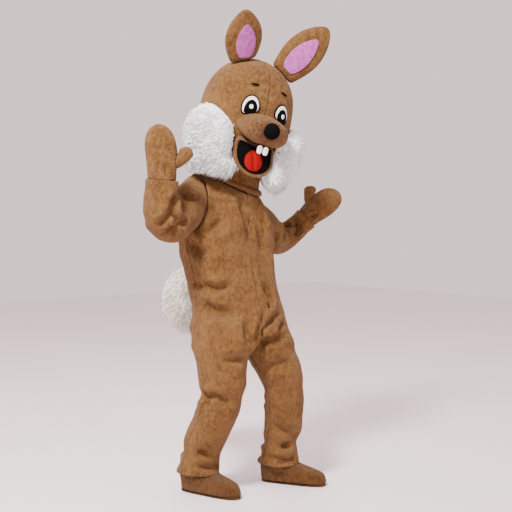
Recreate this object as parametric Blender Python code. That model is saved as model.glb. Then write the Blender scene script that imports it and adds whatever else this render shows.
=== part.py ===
"""Rabbit mascot costume: a plush coverall with mitts, feet, a fur tail and a foam head.

The costume is modelled as it is worn. Metres, +Z up, the front faces -Y, the wearer's left is +X.
It is built standing on the floor and then moved, so that the origin is the middle of the neckline.
Every cloth piece is a thin wall, and neighbours stay SEAM_GAP apart along their seams.
"""

import math

import bmesh
import bpy
from mathutils import Matrix, Vector
from mathutils.bvhtree import BVHTree

PLUSH_THICKNESS = 0.003
FOAM_THICKNESS = 0.010
SEAM_GAP = 0.0003
SEAM_HALF_GAP = 0.0002

# Body suit, measured from the floor
SOLE_THICKNESS = 0.012
HEM_HEIGHT = 0.092
CROTCH_HEIGHT = 0.635
HIP_HEIGHT = 0.775
UNDERARM_HEIGHT = 1.114
PANEL_COLUMNS = 9
LEG_ROWS = 16
SEAT_ROWS = 6
TORSO_ROWS = 11
YOKE_ROWS = 7

# Each row is one level of a leg: height, centre x and y, half width and half depth
RIGHT_LEG = (
    (0.092, -0.148, 0.060, 0.090, 0.092),
    (0.174, -0.143, 0.040, 0.094, 0.096),
    (0.280, -0.134, 0.000, 0.099, 0.104),
    (0.385, -0.124, -0.055, 0.096, 0.106),
    (0.452, -0.122, -0.078, 0.096, 0.106),
    (0.538, -0.122, -0.080, 0.106, 0.114),
    (0.635, -0.122, -0.070, 0.119, 0.132),
    (0.775, -0.118, -0.045, 0.126, 0.150),
)
LEFT_LEG = (
    (0.092, 0.240, -0.045, 0.092, 0.094),
    (0.174, 0.238, -0.058, 0.086, 0.090),
    (0.280, 0.228, -0.090, 0.086, 0.090),
    (0.385, 0.210, -0.118, 0.090, 0.096),
    (0.452, 0.196, -0.130, 0.096, 0.104),
    (0.538, 0.168, -0.125, 0.108, 0.116),
    (0.635, 0.138, -0.100, 0.122, 0.134),
    (0.775, 0.120, -0.060, 0.126, 0.150),
)

# Each row is one level of the torso: height, centre x and y, half width, half depth, slope along x
TORSO = (
    (0.635, 0.006, -0.060, 0.232, 0.185, 0.00),
    (0.775, 0.004, -0.040, 0.226, 0.178, 0.00),
    (0.875, 0.000, -0.022, 0.216, 0.166, -0.04),
    (0.975, -0.008, -0.002, 0.216, 0.166, -0.10),
    (1.114, -0.016, 0.018, 0.226, 0.172, -0.20),
    (1.274, -0.016, 0.024, 0.226, 0.165, -0.26),
)
NECK_CENTRE = Vector((-0.012, 0.010, 1.392))
NECK_HALF_WIDTH = 0.150
NECK_HALF_DEPTH = 0.132
NECK_SLOPE_X = -0.31
NECK_SLOPE_Y = 0.40
NECK_POINT_SHARE = 0.45

RIGHT_SHOULDER = Vector((-0.200, 0.030, 1.424))
LEFT_SHOULDER = Vector((0.186, 0.030, 1.309))
ARMHOLE_DEPTH = 0.098
ARMHOLE_INSET = 0.030

# Each row is a point of an arm's centre line with the sleeve's half width there
RIGHT_ARM = (
    ((-0.288, -0.012, 1.262), 0.098),
    ((-0.358, -0.052, 1.206), 0.094),
    ((-0.420, -0.086, 1.204), 0.088),
    ((-0.458, -0.106, 1.250), 0.082),
    ((-0.468, -0.116, 1.318), 0.074),
    ((-0.466, -0.122, 1.388), 0.064),
)
LEFT_ARM = (
    ((0.266, 0.046, 1.156), 0.082),
    ((0.330, 0.092, 1.118), 0.074),
    ((0.392, 0.116, 1.116), 0.070),
    ((0.444, 0.108, 1.146), 0.064),
    ((0.484, 0.088, 1.186), 0.060),
    ((0.516, 0.066, 1.224), 0.056),
)
SLEEVE_RINGS = 14
SLEEVE_EASINGS = 3
# How near a sleeve's inner side may come to the middle of a bend
BEND_SHARE = 0.62

PANEL_WIDTH = 0.35
PANEL_LENGTH = 1.35
# Folds fade out over this share of a panel's width beside its seams
FOLD_MARGIN = 0.15
# Folds on the panels: panel, across and along where it lies, half length, half width, slant, depth
FOLDS = (
    ("front_right", 0.15, 0.84, 0.096, 0.040, 1.2, -0.0152),
    ("front_right", 0.55, 0.76, 0.096, 0.044, -0.9, 0.0190),
    ("front_right", 0.70, 0.60, 0.080, 0.032, 0.2, -0.0190),
    ("front_right", 0.40, 0.52, 0.096, 0.036, 0.1, 0.0133),
    ("front_right", 0.55, 0.27, 0.112, 0.028, 0.1, -0.0228),
    ("front_right", 0.55, 0.30, 0.112, 0.028, 0.1, 0.0171),
    ("front_right", 0.50, 0.06, 0.144, 0.024, 0.0, -0.0171),
    ("front_left", 0.20, 0.83, 0.112, 0.040, -1.3, -0.0190),
    ("front_left", 0.40, 0.78, 0.112, 0.040, -1.3, 0.0190),
    ("front_left", 0.60, 0.74, 0.112, 0.040, -1.3, -0.0171),
    ("front_left", 0.35, 0.60, 0.096, 0.036, 1.6, -0.0152),
    ("front_left", 0.50, 0.42, 0.144, 0.028, -0.3, -0.0228),
    ("front_left", 0.50, 0.26, 0.128, 0.028, 0.1, -0.0190),
    ("front_left", 0.60, 0.08, 0.144, 0.028, 0.0, -0.0228),
    ("front_left", 0.60, 0.11, 0.144, 0.024, 0.0, 0.0152),
    ("back_right", 0.35, 0.74, 0.112, 0.044, 0.8, 0.0190),
    ("back_right", 0.55, 0.58, 0.096, 0.036, 0.2, -0.0190),
    ("back_right", 0.45, 0.40, 0.144, 0.036, -0.3, -0.0228),
    ("back_right", 0.50, 0.27, 0.128, 0.028, 0.1, -0.0190),
    ("back_right", 0.50, 0.07, 0.144, 0.024, 0.0, -0.0171),
    ("back_left", 0.35, 0.72, 0.112, 0.044, -0.8, 0.0190),
    ("back_left", 0.50, 0.58, 0.096, 0.036, 0.1, -0.0190),
    ("back_left", 0.45, 0.40, 0.144, 0.036, -0.3, -0.0228),
    ("back_left", 0.50, 0.28, 0.128, 0.028, 0.1, -0.0190),
    ("back_left", 0.50, 0.07, 0.144, 0.024, 0.0, -0.0171),
)

# Feet
FOOT_LENGTH = 0.325
FOOT_WIDTH = 0.125
HEEL_SHARE = 0.26
RIGHT_FOOT_TURN = math.radians(14.0)
LEFT_FOOT_TURN = math.radians(27.0)

# Head, in its own frame: origin at the middle of the head, the face towards -Y
VIEW_TURN = math.radians(40.0)
HEAD_TURN = math.radians(8.0)
HEAD_LEAN = math.radians(15.0)
HEAD_CENTRE = Vector((0.027, -0.046, 1.646))
SHELL_CENTRE = Vector((0.0, -0.010, 0.050))
SHELL_HALF_WIDTH = 0.218
SHELL_FRONT = 0.160
SHELL_BACK = 0.196
SHELL_UP = 0.243
SHELL_DOWN = 0.300
SHELL_OPENING = math.radians(-60.0)

# Mitts
# Each row is a level of a mitt: distance from the cuff, half width, half thickness, sideways shift
RIGHT_MITT = (
    (0.030, 0.062, 0.050, 0.000),
    (0.075, 0.068, 0.050, -0.004),
    (0.125, 0.071, 0.048, -0.012),
    (0.170, 0.066, 0.044, -0.018),
    (0.205, 0.050, 0.034, -0.022),
    (0.222, 0.026, 0.018, -0.024),
)
LEFT_MITT = (
    (0.030, 0.058, 0.048, 0.000),
    (0.070, 0.066, 0.050, -0.004),
    (0.115, 0.069, 0.048, -0.010),
    (0.155, 0.062, 0.044, -0.014),
    (0.185, 0.046, 0.034, -0.018),
    (0.200, 0.024, 0.018, -0.020),
)

# Thumbs
# Each row is a level of a thumb: share of its length and of its width
THUMB = ((0.20, 0.98), (0.50, 0.90), (0.77, 0.72), (0.92, 0.40))
THUMB_HALF_WIDTH = 0.033
THUMB_HALF_THICKNESS = 0.029
THUMB_ROOT = 0.034
THUMB_POINTS = 12
THUMB_CLEARANCE = 0.0042
# How far each thumb leans towards the fingers, in degrees, and its length
RIGHT_THUMB = (42.0, 0.044)
LEFT_THUMB = (42.0, 0.028)
# Each row is a level of a foot: share of the way out to the sole's edge, height at the toe and at the heel
FOOT_ROWS = (
    (0.00, 0.112, 0.112),
    (0.00, 0.092, 0.092),
    (0.24, 0.082, 0.072),
    (0.55, 0.074, 0.056),
    (0.82, 0.064, 0.042),
    (0.97, 0.046, 0.028),
    (1.00, 0.0124, 0.0124),
)
FOOT_POINTS = 4 * (PANEL_COLUMNS - 1) // 2

# Collar
COLLAR_POINTS = 20
COLLAR_SIDES = 8
COLLAR_HEIGHT = 0.026
COLLAR_WIDTH = 0.016

# Tail
TAIL_CENTRE = Vector((0.000, 0.292, 0.850))
TAIL_RADII = (0.140, 0.150, 0.148)
TAIL_CLEARANCE = 0.0012

# Muzzle, as angles seen from the head's middle
MUZZLE_UP = math.radians(-18.0)
MUZZLE_HALF_WIDTH = math.radians(41.0)
MUZZLE_HALF_HEIGHT = math.radians(19.0)
MUZZLE_DEPTH = 0.066
LOBE_AT = math.radians(19.0)
LOBE_SPREAD = math.radians(16.0)
LOBE_DEPTH = 0.020
CLEFT_SPREAD = math.radians(5.0)
CLEFT_DEPTH = 0.016
EDGE_DEPTH = 0.0025
MUZZLE_CLEARANCE = 1.03

# Lower jaw, as angles seen from the head's middle
JAW_ACROSS = math.radians(-3.0)
JAW_UP = math.radians(-41.0)
JAW_HALF_WIDTH = math.radians(35.0)
JAW_MUZZLE_GAP = math.radians(0.8)
JAW_DROP = math.radians(14.0)
JAW_CORNER_DEPTH = 0.032
JAW_FRONT_DEPTH = 0.112
LIP_AT = 0.88
JAW_REACHES = (0.25, 0.50, 0.75, 0.84, 0.87, 0.94, 1.0)
MOUTH_EDGE = 0.86
MOUTH_REACHES = (0.25, 0.50, 0.75, 0.825)
MOUTH_THICKNESS = 0.003
MOUTH_RECESS = 0.008

# Head shell and the plush under the chin
HEAD_LEVELS = 13
HEAD_COLUMNS = COLLAR_POINTS // 2 + 1
SKIRT_OVERLAP = math.radians(5.0)
SKIRT_INSET = 0.0052

# Eyes
EYE_ACROSS = math.radians(27.0)
EYE_UP = math.radians(4.5)
EYE_TILT = math.radians(4.0)
EYE_THICKNESS = 0.003
# Each row is a layer of an eye: name, rise, half width and half height as angles, surface
EYE_LAYERS = (
    ("eye_rim_", 0.000, 0.240, 0.320, "black"),
    ("eye_white_", 0.000, 0.216, 0.296, "white"),
    ("pupil_", -0.050, 0.142, 0.215, "black"),
    ("glint_", 0.020, 0.052, 0.058, "white"),
)
BROW_ACROSS = math.radians(29.0)
BROW_UP = math.radians(36.5)
BROW_HALF_WIDTH = math.radians(8.0)
BROW_HALF_HEIGHT = math.radians(1.5)
BROW_TILT = math.radians(-16.0)

# Ears
# Each row is a level of an ear: share of its length, half width, half thickness
EAR_ROWS = (
    (0.00, 0.064, 0.028),
    (0.14, 0.077, 0.030),
    (0.32, 0.091, 0.030),
    (0.52, 0.092, 0.027),
    (0.72, 0.075, 0.023),
    (0.88, 0.046, 0.017),
    (0.97, 0.020, 0.010),
)
# Each row is a level of an ear's lining: share of the ear's length and half width
LINING_ROWS = ((0.08, 0.026), (0.18, 0.042), (0.34, 0.050), (0.50, 0.044), (0.63, 0.029), (0.74, 0.009))
LINING_THICKNESS = 0.0026
# Each ear: its length, the way it points and the way its lining faces, in the head's frame
EARS = {
    "right": (0.226, Vector((-0.46, -0.42, 1.0)), Vector((-0.10, -1.0, 0.0))),
    "left": (0.290, Vector((0.50, -0.36, 1.0)), Vector((-0.30, -1.0, 0.0))),
}
EAR_POINTS = 14

# Cheek ruffs, as shares of a tangent plane at their middle
CHEEK_DIRECTION = Vector((0.80, -0.46, -0.70)).normalized()
CHEEK_FORWARD = 0.42
CHEEK_BACKWARD = 0.78
CHEEK_UP = 0.80
CHEEK_DOWN = 0.58
CHEEK_DEPTH = 0.088
CHEEK_SLANT = 0.28
CHEEK_CLEARANCE = 0.0015
CHEEK_FLOOR_CLEARANCE = 0.0060
CHEEK_HEM = 0.034
CHEEK_LOWEST = math.sin(math.radians(-59.0))
CHEEK_NEIGHBOURS = ("head_right", "head_left", "neck_skirt", "muzzle", "jaw")
CHEEK_FLOORS = ("collar", "body_front_right", "body_front_left", "body_back_right", "body_back_left",
                "sleeve_right", "sleeve_left")
NEARBY = 0.06

# Tongue, placed from the middle of the jaw
TONGUE_ACROSS = math.radians(-3.0)
TONGUE_UP = math.radians(-5.4)
TONGUE_HALF_WIDTH = math.radians(11.0)
TONGUE_HALF_HEIGHT = math.radians(3.8)
TONGUE_DEPTH = 0.010
TONGUE_EDGE = 0.002

# Nose
NOSE_CENTRE = Vector((-0.006, -0.262, -0.014))
NOSE_RADIUS = 0.036

# Teeth
TOOTH_WIDTH = 0.030
TOOTH_HEIGHT = 0.042
TOOTH_THICKNESS = 0.008
TOOTH_FRONT = -0.222
TOOTH_SAMPLES = (-1.0, -0.75, -0.5, -0.25, 0.0, 0.25, 0.5, 0.75, 1.0)
# A level below the muzzle, from which the teeth's roots are found
TOOTH_TOP = -0.102
# The corners of a tooth: across from its middle, and down from its root
TOOTH_CORNERS = ((-1.0, 0.0), (1.0, 0.0), (1.0, 0.75), (0.6, 0.97), (-0.6, 0.97), (-1.0, 0.75))


def material(name, color, roughness, metallic=0.0):
    result = bpy.data.materials.new(name)
    result.use_nodes = True
    shader = result.node_tree.nodes["Principled BSDF"]
    shader.inputs["Base Color"].default_value = (*color, 1.0)
    shader.inputs["Roughness"].default_value = roughness
    shader.inputs["Metallic"].default_value = metallic
    return result


def smoothstep(low, high, value):
    share = min(1.0, max(0.0, (value - low) / (high - low)))
    return share * share * (3.0 - 2.0 * share)


def read_table(table, position):
    """Smooth value of a table's numbers at a position along its first column."""
    index = 0
    while index < len(table) - 2 and position > table[index + 1][0]:
        index += 1
    before, start = table[max(index - 1, 0)], table[index]
    end, after = table[index + 1], table[min(index + 2, len(table) - 1)]
    share = (position - start[0]) / (end[0] - start[0])
    share = min(1.0, max(0.0, share))
    result = []
    for column in range(1, len(start)):
        a, b, c, d = before[column], start[column], end[column], after[column]
        slope_b = (c - a) / 2.0
        slope_c = (d - b) / 2.0
        s2, s3 = share * share, share * share * share
        result.append(b * (2 * s3 - 3 * s2 + 1) + slope_b * (s3 - 2 * s2 + share)
                      + c * (3 * s2 - 2 * s3) + slope_c * (s3 - s2))
    return result


def grid_normals(rows, wrap):
    """Outward direction at each point of a grid of points."""
    last_row, columns = len(rows) - 1, len(rows[0])
    normals = []
    for i, row in enumerate(rows):
        line = []
        for j in range(columns):
            if wrap:
                across = row[(j + 1) % columns] - row[j - 1]
            else:
                across = row[min(j + 1, columns - 1)] - row[max(j - 1, 0)]
            along = rows[min(i + 1, last_row)][j] - rows[max(i - 1, 0)][j]
            line.append(across.cross(along).normalized())
        normals.append(line)
    return normals


def add_object(name, mesh_builder, surface):
    """Makes one closed object from a bmesh, with its faces pointing out."""
    bmesh.ops.recalc_face_normals(mesh_builder, faces=mesh_builder.faces)
    if mesh_builder.calc_volume(signed=True) < 0.0:
        bmesh.ops.reverse_faces(mesh_builder, faces=mesh_builder.faces)
    bmesh.ops.triangulate(mesh_builder, faces=mesh_builder.faces)
    mesh = bpy.data.meshes.new(name)
    mesh_builder.to_mesh(mesh)
    mesh_builder.free()
    mesh.shade_smooth()
    mesh.set_sharp_from_angle(angle=math.radians(50.0))
    mesh.materials.append(surface)
    result = bpy.data.objects.new(name, mesh)
    bpy.context.scene.collection.objects.link(result)
    return result


def cloth(name, rows, surface, thickness=PLUSH_THICKNESS, wrap=False, tip=None, flip=False,
          normals=None):
    """A wall whose outer side is a grid of points. A wrapped grid is a tube, closed where it has a tip."""
    normals = normals or grid_normals(rows, wrap)
    sign = 1.0 if flip else -1.0
    builder = bmesh.new()
    sides = []
    for side in (0.0, sign * thickness):
        sides.append([[builder.verts.new(point + normal * side) for point, normal in zip(row, line)]
                      for row, line in zip(rows, normals)])
    last_row, columns = len(rows) - 1, len(rows[0])
    spans = columns if wrap else columns - 1
    for vertices in sides:
        for i in range(last_row):
            for j in range(spans):
                k = (j + 1) % columns
                builder.faces.new((vertices[i][j], vertices[i][k], vertices[i + 1][k], vertices[i + 1][j]))
    outer, inner = sides
    ends = [0] if tip is not None else [0, last_row]
    for i in ends:
        for j in range(spans):
            k = (j + 1) % columns
            builder.faces.new((outer[i][j], outer[i][k], inner[i][k], inner[i][j]))
    if not wrap:
        for j in (0, columns - 1):
            for i in range(last_row):
                builder.faces.new((outer[i][j], outer[i + 1][j], inner[i + 1][j], inner[i][j]))
    if tip is not None:
        middle = sum(rows[-1], Vector()) / columns
        inward = (middle - tip).normalized() * thickness
        for vertices, point in ((outer, tip), (inner, tip + inward)):
            pole = builder.verts.new(point)
            for j in range(columns):
                builder.faces.new((vertices[-1][j], vertices[-1][(j + 1) % columns], pole))
    return add_object(name, builder, surface)


def block(name, rings, surface, start=None, end=None):
    """A solid made of closed rings, capped flat or by a point at either end."""
    builder = bmesh.new()
    vertices = [[builder.verts.new(point) for point in ring] for ring in rings]
    count = len(rings[0])
    for lower, upper in zip(vertices, vertices[1:]):
        for j in range(count):
            k = (j + 1) % count
            builder.faces.new((lower[j], lower[k], upper[k], upper[j]))
    for ring, point in ((vertices[0], start), (vertices[-1], end)):
        if point is None:
            builder.faces.new(ring)
        else:
            pole = builder.verts.new(point)
            for j in range(count):
                builder.faces.new((ring[j], ring[(j + 1) % count], pole))
    return add_object(name, builder, surface)


def tree_of(*objects):
    """A tree for finding the nearest surface of built pieces."""
    builder = bmesh.new()
    for item in objects:
        builder.from_mesh(item.data)
    tree = BVHTree.FromBMesh(builder)
    builder.free()
    return tree


def leg_point(table, side, height, angle):
    """Point of a leg at a height. The angle runs from the front round the outer side to the back."""
    x, y, half_width, half_depth = read_table(table, height)
    return Vector((x + side * half_width * math.sin(angle), y - half_depth * math.cos(angle), height))


def torso_point(side, height, angle):
    x, y, half_width, half_depth, slope = read_table(TORSO, height)
    across, deep = math.sin(angle), math.cos(angle)
    squareness = (across ** 4 + deep ** 4) ** -0.08
    across, deep = across * squareness, deep * squareness
    shift = side * half_width * across
    return Vector((x + shift, y - half_depth * deep, height + slope * shift))


def centre_line_x(height):
    return read_table(TORSO, height)[0] * smoothstep(CROTCH_HEIGHT, HIP_HEIGHT, height)


def crotch_curve(height, front):
    """The centre seam between the crotch and the hips, a J that runs under the body."""
    share = smoothstep(CROTCH_HEIGHT, HIP_HEIGHT, height)
    rise = min(1.0, max(0.0, (height - CROTCH_HEIGHT) / (HIP_HEIGHT - CROTCH_HEIGHT)))
    start = Vector((0.0, -0.085, height))
    end = torso_point(1.0, height, 0.0 if front else math.pi)
    depth = start.y + (end.y - start.y) * (1.0 - (1.0 - rise) ** 2.2)
    return Vector((start.x + (end.x - start.x) * share, depth, height))


def seat_row(table, side, height, front):
    """A row of a panel from the centre seam to the side seam, below the underarm."""
    blend = smoothstep(CROTCH_HEIGHT, HIP_HEIGHT, height)
    row = []
    for column in range(PANEL_COLUMNS):
        share = column / (PANEL_COLUMNS - 1)
        leg_angle = -math.pi / 2 + math.pi * share
        torso_angle = math.pi / 2 * share
        if not front:
            leg_angle = math.pi - leg_angle
            torso_angle = math.pi - torso_angle
        leg = leg_point(table, side, min(height, HIP_HEIGHT), leg_angle)
        row.append(leg.lerp(torso_point(side, height, torso_angle), blend))
    if CROTCH_HEIGHT <= height:
        shift = crotch_curve(height, front) - row[0]
        for column in range(PANEL_COLUMNS):
            fade = (1.0 - column / (PANEL_COLUMNS - 1)) ** 2.0
            row[column] = row[column] + shift * fade
    return row


def armhole_point(side, shoulder, share, front):
    """The armhole from the underarm, share 0, to the shoulder tip, share 1."""
    underarm = torso_point(side, UNDERARM_HEIGHT, math.pi / 2)
    middle = (underarm + shoulder) / 2.0
    reach = Vector((-side * ARMHOLE_INSET, -ARMHOLE_DEPTH if front else ARMHOLE_DEPTH, 0.0))
    angle = math.pi * share
    return middle + (shoulder - underarm) / 2.0 * -math.cos(angle) + reach * math.sin(angle)


def neck_point(side, angle, width=NECK_HALF_WIDTH, depth=NECK_HALF_DEPTH):
    """The neckline. The angle runs from the front round the side to the back."""
    x = side * width * math.sin(angle)
    y = -depth * math.cos(angle)
    return NECK_CENTRE + Vector((x, y, NECK_SLOPE_X * x + NECK_SLOPE_Y * y))


def top_point(side, shoulder, share, front):
    """The top edge of a panel, the neckline and then the shoulder seam."""
    if share <= NECK_POINT_SHARE:
        angle = math.pi / 2 * share / NECK_POINT_SHARE
        return neck_point(side, angle if front else math.pi - angle)
    along = (share - NECK_POINT_SHARE) / (1.0 - NECK_POINT_SHARE)
    return neck_point(side, math.pi / 2).lerp(shoulder, along)


def centre_point(share, front):
    """The centre seam from the underarm's height to the neckline."""
    angle = 0.0 if front else math.pi
    start = torso_point(1.0, UNDERARM_HEIGHT, angle)
    end = neck_point(1.0, angle)
    bulge = Vector((0.0, -0.010 if front else 0.026, 0.0))
    return start.lerp(end, share) + bulge * math.sin(math.pi * share)


def yoke_row(side, shoulder, share, front):
    """A row of a panel above the underarm, stretched between the four edges round it."""
    row = []
    for column in range(PANEL_COLUMNS):
        across = column / (PANEL_COLUMNS - 1)
        angle = math.pi / 2 * across
        bottom = torso_point(side, UNDERARM_HEIGHT, angle if front else math.pi - angle)
        top = top_point(side, shoulder, across, front)
        inner, outer = centre_point(share, front), armhole_point(side, shoulder, share, front)
        corners = (centre_point(0.0, front).lerp(centre_point(1.0, front), share).lerp(
            armhole_point(side, shoulder, 0.0, front).lerp(shoulder, share), across))
        bulge = 0.010 * math.sin(math.pi * share) * math.sin(math.pi * across)
        point = bottom.lerp(top, share) + inner.lerp(outer, across) - corners
        point.y += -bulge if front else bulge
        row.append(point)
    return row


def fold_shift(panel, across, along):
    """How far the folds push a point of a panel out."""
    shift = 0.0
    for name, middle_across, middle_along, half_length, half_width, slant, depth in FOLDS:
        if name != panel:
            continue
        a = (across - middle_across) * PANEL_WIDTH
        b = (along - middle_along) * PANEL_LENGTH
        turn_x, turn_y = math.cos(slant), math.sin(slant)
        lengthwise = (a * turn_x + b * turn_y) / half_length
        crosswise = (b * turn_x - a * turn_y) / half_width
        shift += depth * math.exp(-lengthwise * lengthwise - crosswise * crosswise)
    return shift * smoothstep(0.0, FOLD_MARGIN, across) * smoothstep(0.0, FOLD_MARGIN, 1.0 - across)


def panel_rows(table, side, shoulder, front):
    """A panel's points and outward directions, before its seams are opened."""
    heights = [HEM_HEIGHT + (CROTCH_HEIGHT - HEM_HEIGHT) * i / LEG_ROWS for i in range(LEG_ROWS)]
    heights += [CROTCH_HEIGHT + (HIP_HEIGHT - CROTCH_HEIGHT) * i / SEAT_ROWS for i in range(SEAT_ROWS)]
    heights += [HIP_HEIGHT + (UNDERARM_HEIGHT - HIP_HEIGHT) * i / TORSO_ROWS for i in range(TORSO_ROWS)]
    rows = [seat_row(table, side, height, front) for height in heights]
    rows += [yoke_row(side, shoulder, i / YOKE_ROWS, front) for i in range(YOKE_ROWS + 1)]
    panel = ("front" if front else "back") + ("_right" if side < 0 else "_left")
    outward = 1.0 if (side < 0) != front else -1.0
    last = len(rows) - 1
    normals = grid_normals(rows, False)
    for i, row in enumerate(rows):
        limit = centre_line_x(row[0].z)
        for j in range(PANEL_COLUMNS):
            push = fold_shift(panel, j / (PANEL_COLUMNS - 1), i / last)
            push *= smoothstep(0.0, 0.06, 1.0 - i / last)
            row[j] = row[j] + normals[i][j] * push * outward
            margin = SEAM_HALF_GAP * 3.0 if j else 0.0
            if i <= LEG_ROWS + SEAT_ROWS and side * (row[j].x - limit) < margin:
                row[j].x = limit + side * margin
    normals = [[normal * outward for normal in line] for line in grid_normals(rows, False)]
    return rows, normals


def square_to(normals, axis):
    """Outward directions at a tube's end, square to the tube."""
    return [(normal - axis * normal.dot(axis)).normalized() for normal in normals]


def open_edge(point, neighbour, normal, along):
    """Moves a point of a seam back from the seam, along the cloth."""
    away = neighbour - point
    away -= normal * away.dot(normal)
    away -= along * away.dot(along)
    return point + away.normalized() * SEAM_HALF_GAP


def make_side(label, side, table, shoulder, sleeve_normals, plush):
    """The front and back panels of one side, with the directions at their seams shared."""
    front, front_normals = panel_rows(table, side, shoulder, True)
    back, back_normals = panel_rows(table, side, shoulder, False)
    last = len(front) - 1
    first_yoke = last - YOKE_ROWS
    neck_columns = int(NECK_POINT_SHARE * (PANEL_COLUMNS - 1)) + 1

    def share_normal(i, j):
        shared = (front_normals[i][j] + back_normals[i][j]).normalized()
        front_normals[i][j] = back_normals[i][j] = shared

    for i in range(last + 1):
        if i < first_yoke:
            share_normal(i, -1)
        if i < LEG_ROWS:
            share_normal(i, 0)
        for normals in (front_normals, back_normals):
            if i >= LEG_ROWS:
                normals[i][0] = Vector((0.0, normals[i][0].y, normals[i][0].z)).normalized()
    front_normals[LEG_ROWS][0] = back_normals[LEG_ROWS][0] = Vector((0.0, 0.0, -1.0))
    for j in range(neck_columns, PANEL_COLUMNS):
        share_normal(last, j)
    count = 2 * YOKE_ROWS
    for k in range(YOKE_ROWS + 1):
        for normals, column in ((front_normals, k), (back_normals, (count - k) % count)):
            mitre = (normals[first_yoke + k][-1] + sleeve_normals[column]).normalized()
            normals[first_yoke + k][-1] = mitre
            sleeve_normals[column] = mitre
    for i in (first_yoke, last):
        share_normal(i, -1)
        sleeve_normals[0 if i == first_yoke else YOKE_ROWS] = front_normals[i][-1]

    for name, rows, normals in (("body_front_", front, front_normals), ("body_back_", back, back_normals)):
        opened = [list(row) for row in rows]
        for i in range(last + 1):
            for edge, neighbour in ((0, 1), (-1, -2)):
                along = (rows[min(i + 1, last)][edge] - rows[max(i - 1, 0)][edge]).normalized()
                opened[i][edge] = open_edge(rows[i][edge], rows[i][neighbour], normals[i][edge], along)
        towards = -1.0 if name == "body_front_" else 1.0
        opened[LEG_ROWS][0] = rows[LEG_ROWS][0] + Vector((side, towards, 0.0)) * SEAM_HALF_GAP * 1.5
        for j in range(neck_columns, PANEL_COLUMNS):
            along = (rows[last][j] - rows[last][j - 1]).normalized()
            opened[last][j] = open_edge(opened[last][j], rows[last - 1][j], normals[last][j], along)
        outward = (side < 0) != (name == "body_front_")
        inner_normals = [[normal if outward else -normal for normal in line] for line in normals]
        cloth(name + label, opened, plush, flip=not outward, normals=inner_normals)


def arm_frames(side, shoulder, table):
    """Rings of a sleeve: a centre, two directions across and the half width, from a smooth centre line."""
    underarm = torso_point(side, UNDERARM_HEIGHT, math.pi / 2)
    start = (underarm + shoulder) / 2.0
    start_radius = (shoulder - underarm).length / 2.0
    knots = [(0.0, start.x, start.y, start.z, start_radius)]
    travelled = 0.0
    for place, radius in table:
        travelled += (Vector(place) - Vector(knots[-1][1:4])).length
        knots.append((travelled, *place, radius))
    frames = []
    down = (underarm - start).normalized()
    for ring in range(SLEEVE_RINGS + 1):
        position = travelled * ring / SLEEVE_RINGS
        x, y, z, radius = read_table(knots, position)
        ahead = Vector(read_table(knots, min(travelled, position + 0.01))[:3])
        behind = Vector(read_table(knots, max(0.0, position - 0.01))[:3])
        axis = (ahead - behind).normalized()
        down = (down - axis * down.dot(axis)).normalized()
        frames.append((Vector((x, y, z)), down, axis.cross(down) * -side, radius, axis))
    return frames


def sleeve_rows(side, shoulder, table):
    frames = arm_frames(side, shoulder, table)
    armhole = [armhole_point(side, shoulder, i / YOKE_ROWS, True) for i in range(YOKE_ROWS)]
    armhole += [armhole_point(side, shoulder, 1.0 - i / YOKE_ROWS, False) for i in range(YOKE_ROWS)]
    count = len(armhole)
    rows = []
    for ring, (centre, down, front, radius, _) in enumerate(frames):
        before, after = frames[max(ring - 1, 0)], frames[min(ring + 1, SLEEVE_RINGS)]
        bend = after[4] - before[4]
        limit = BEND_SHARE * (after[0] - before[0]).length / bend.length
        row = []
        for j in range(count):
            angle = 2.0 * math.pi * j / count
            direction = down * math.cos(angle) + front * math.sin(angle)
            crease = 1.0 + 0.045 * math.sin(2.6 * ring + 0.8 * math.sin(angle))
            point = centre + direction * radius * crease
            inward = (point - centre).dot(bend.normalized())
            point -= bend.normalized() * max(0.0, inward - limit)
            share = smoothstep(0.0, 4.0, ring)
            settled = armhole[j] + (centre - frames[0][0])
            row.append(settled.lerp(point, share))
        rows.append(row)
    for _ in range(SLEEVE_EASINGS):
        for before, row, after in zip(rows, rows[1:], rows[2:]):
            for j in range(count):
                row[j] = row[j].lerp((before[j] + after[j]) / 2.0, 0.5)
    return rows, frames


def bag_rows(first_ring, centre, axis, wide, thick, table):
    """Rings that carry on from a first ring and end in a rounded tip."""
    count = len(first_ring)
    start = sum(first_ring, Vector()) / count
    rows = [[point + axis * SEAM_GAP for point in first_ring]]
    for distance, half_width, half_thickness, sideways in table:
        middle = centre + axis * distance + wide * sideways
        row = []
        for point in first_ring:
            spoke = point - start
            angle = math.atan2(spoke.dot(thick), spoke.dot(wide))
            point = middle + wide * math.cos(angle) * half_width
            row.append(point + thick * math.sin(angle) * half_thickness)
        rows.append(row)
    return rows


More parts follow.
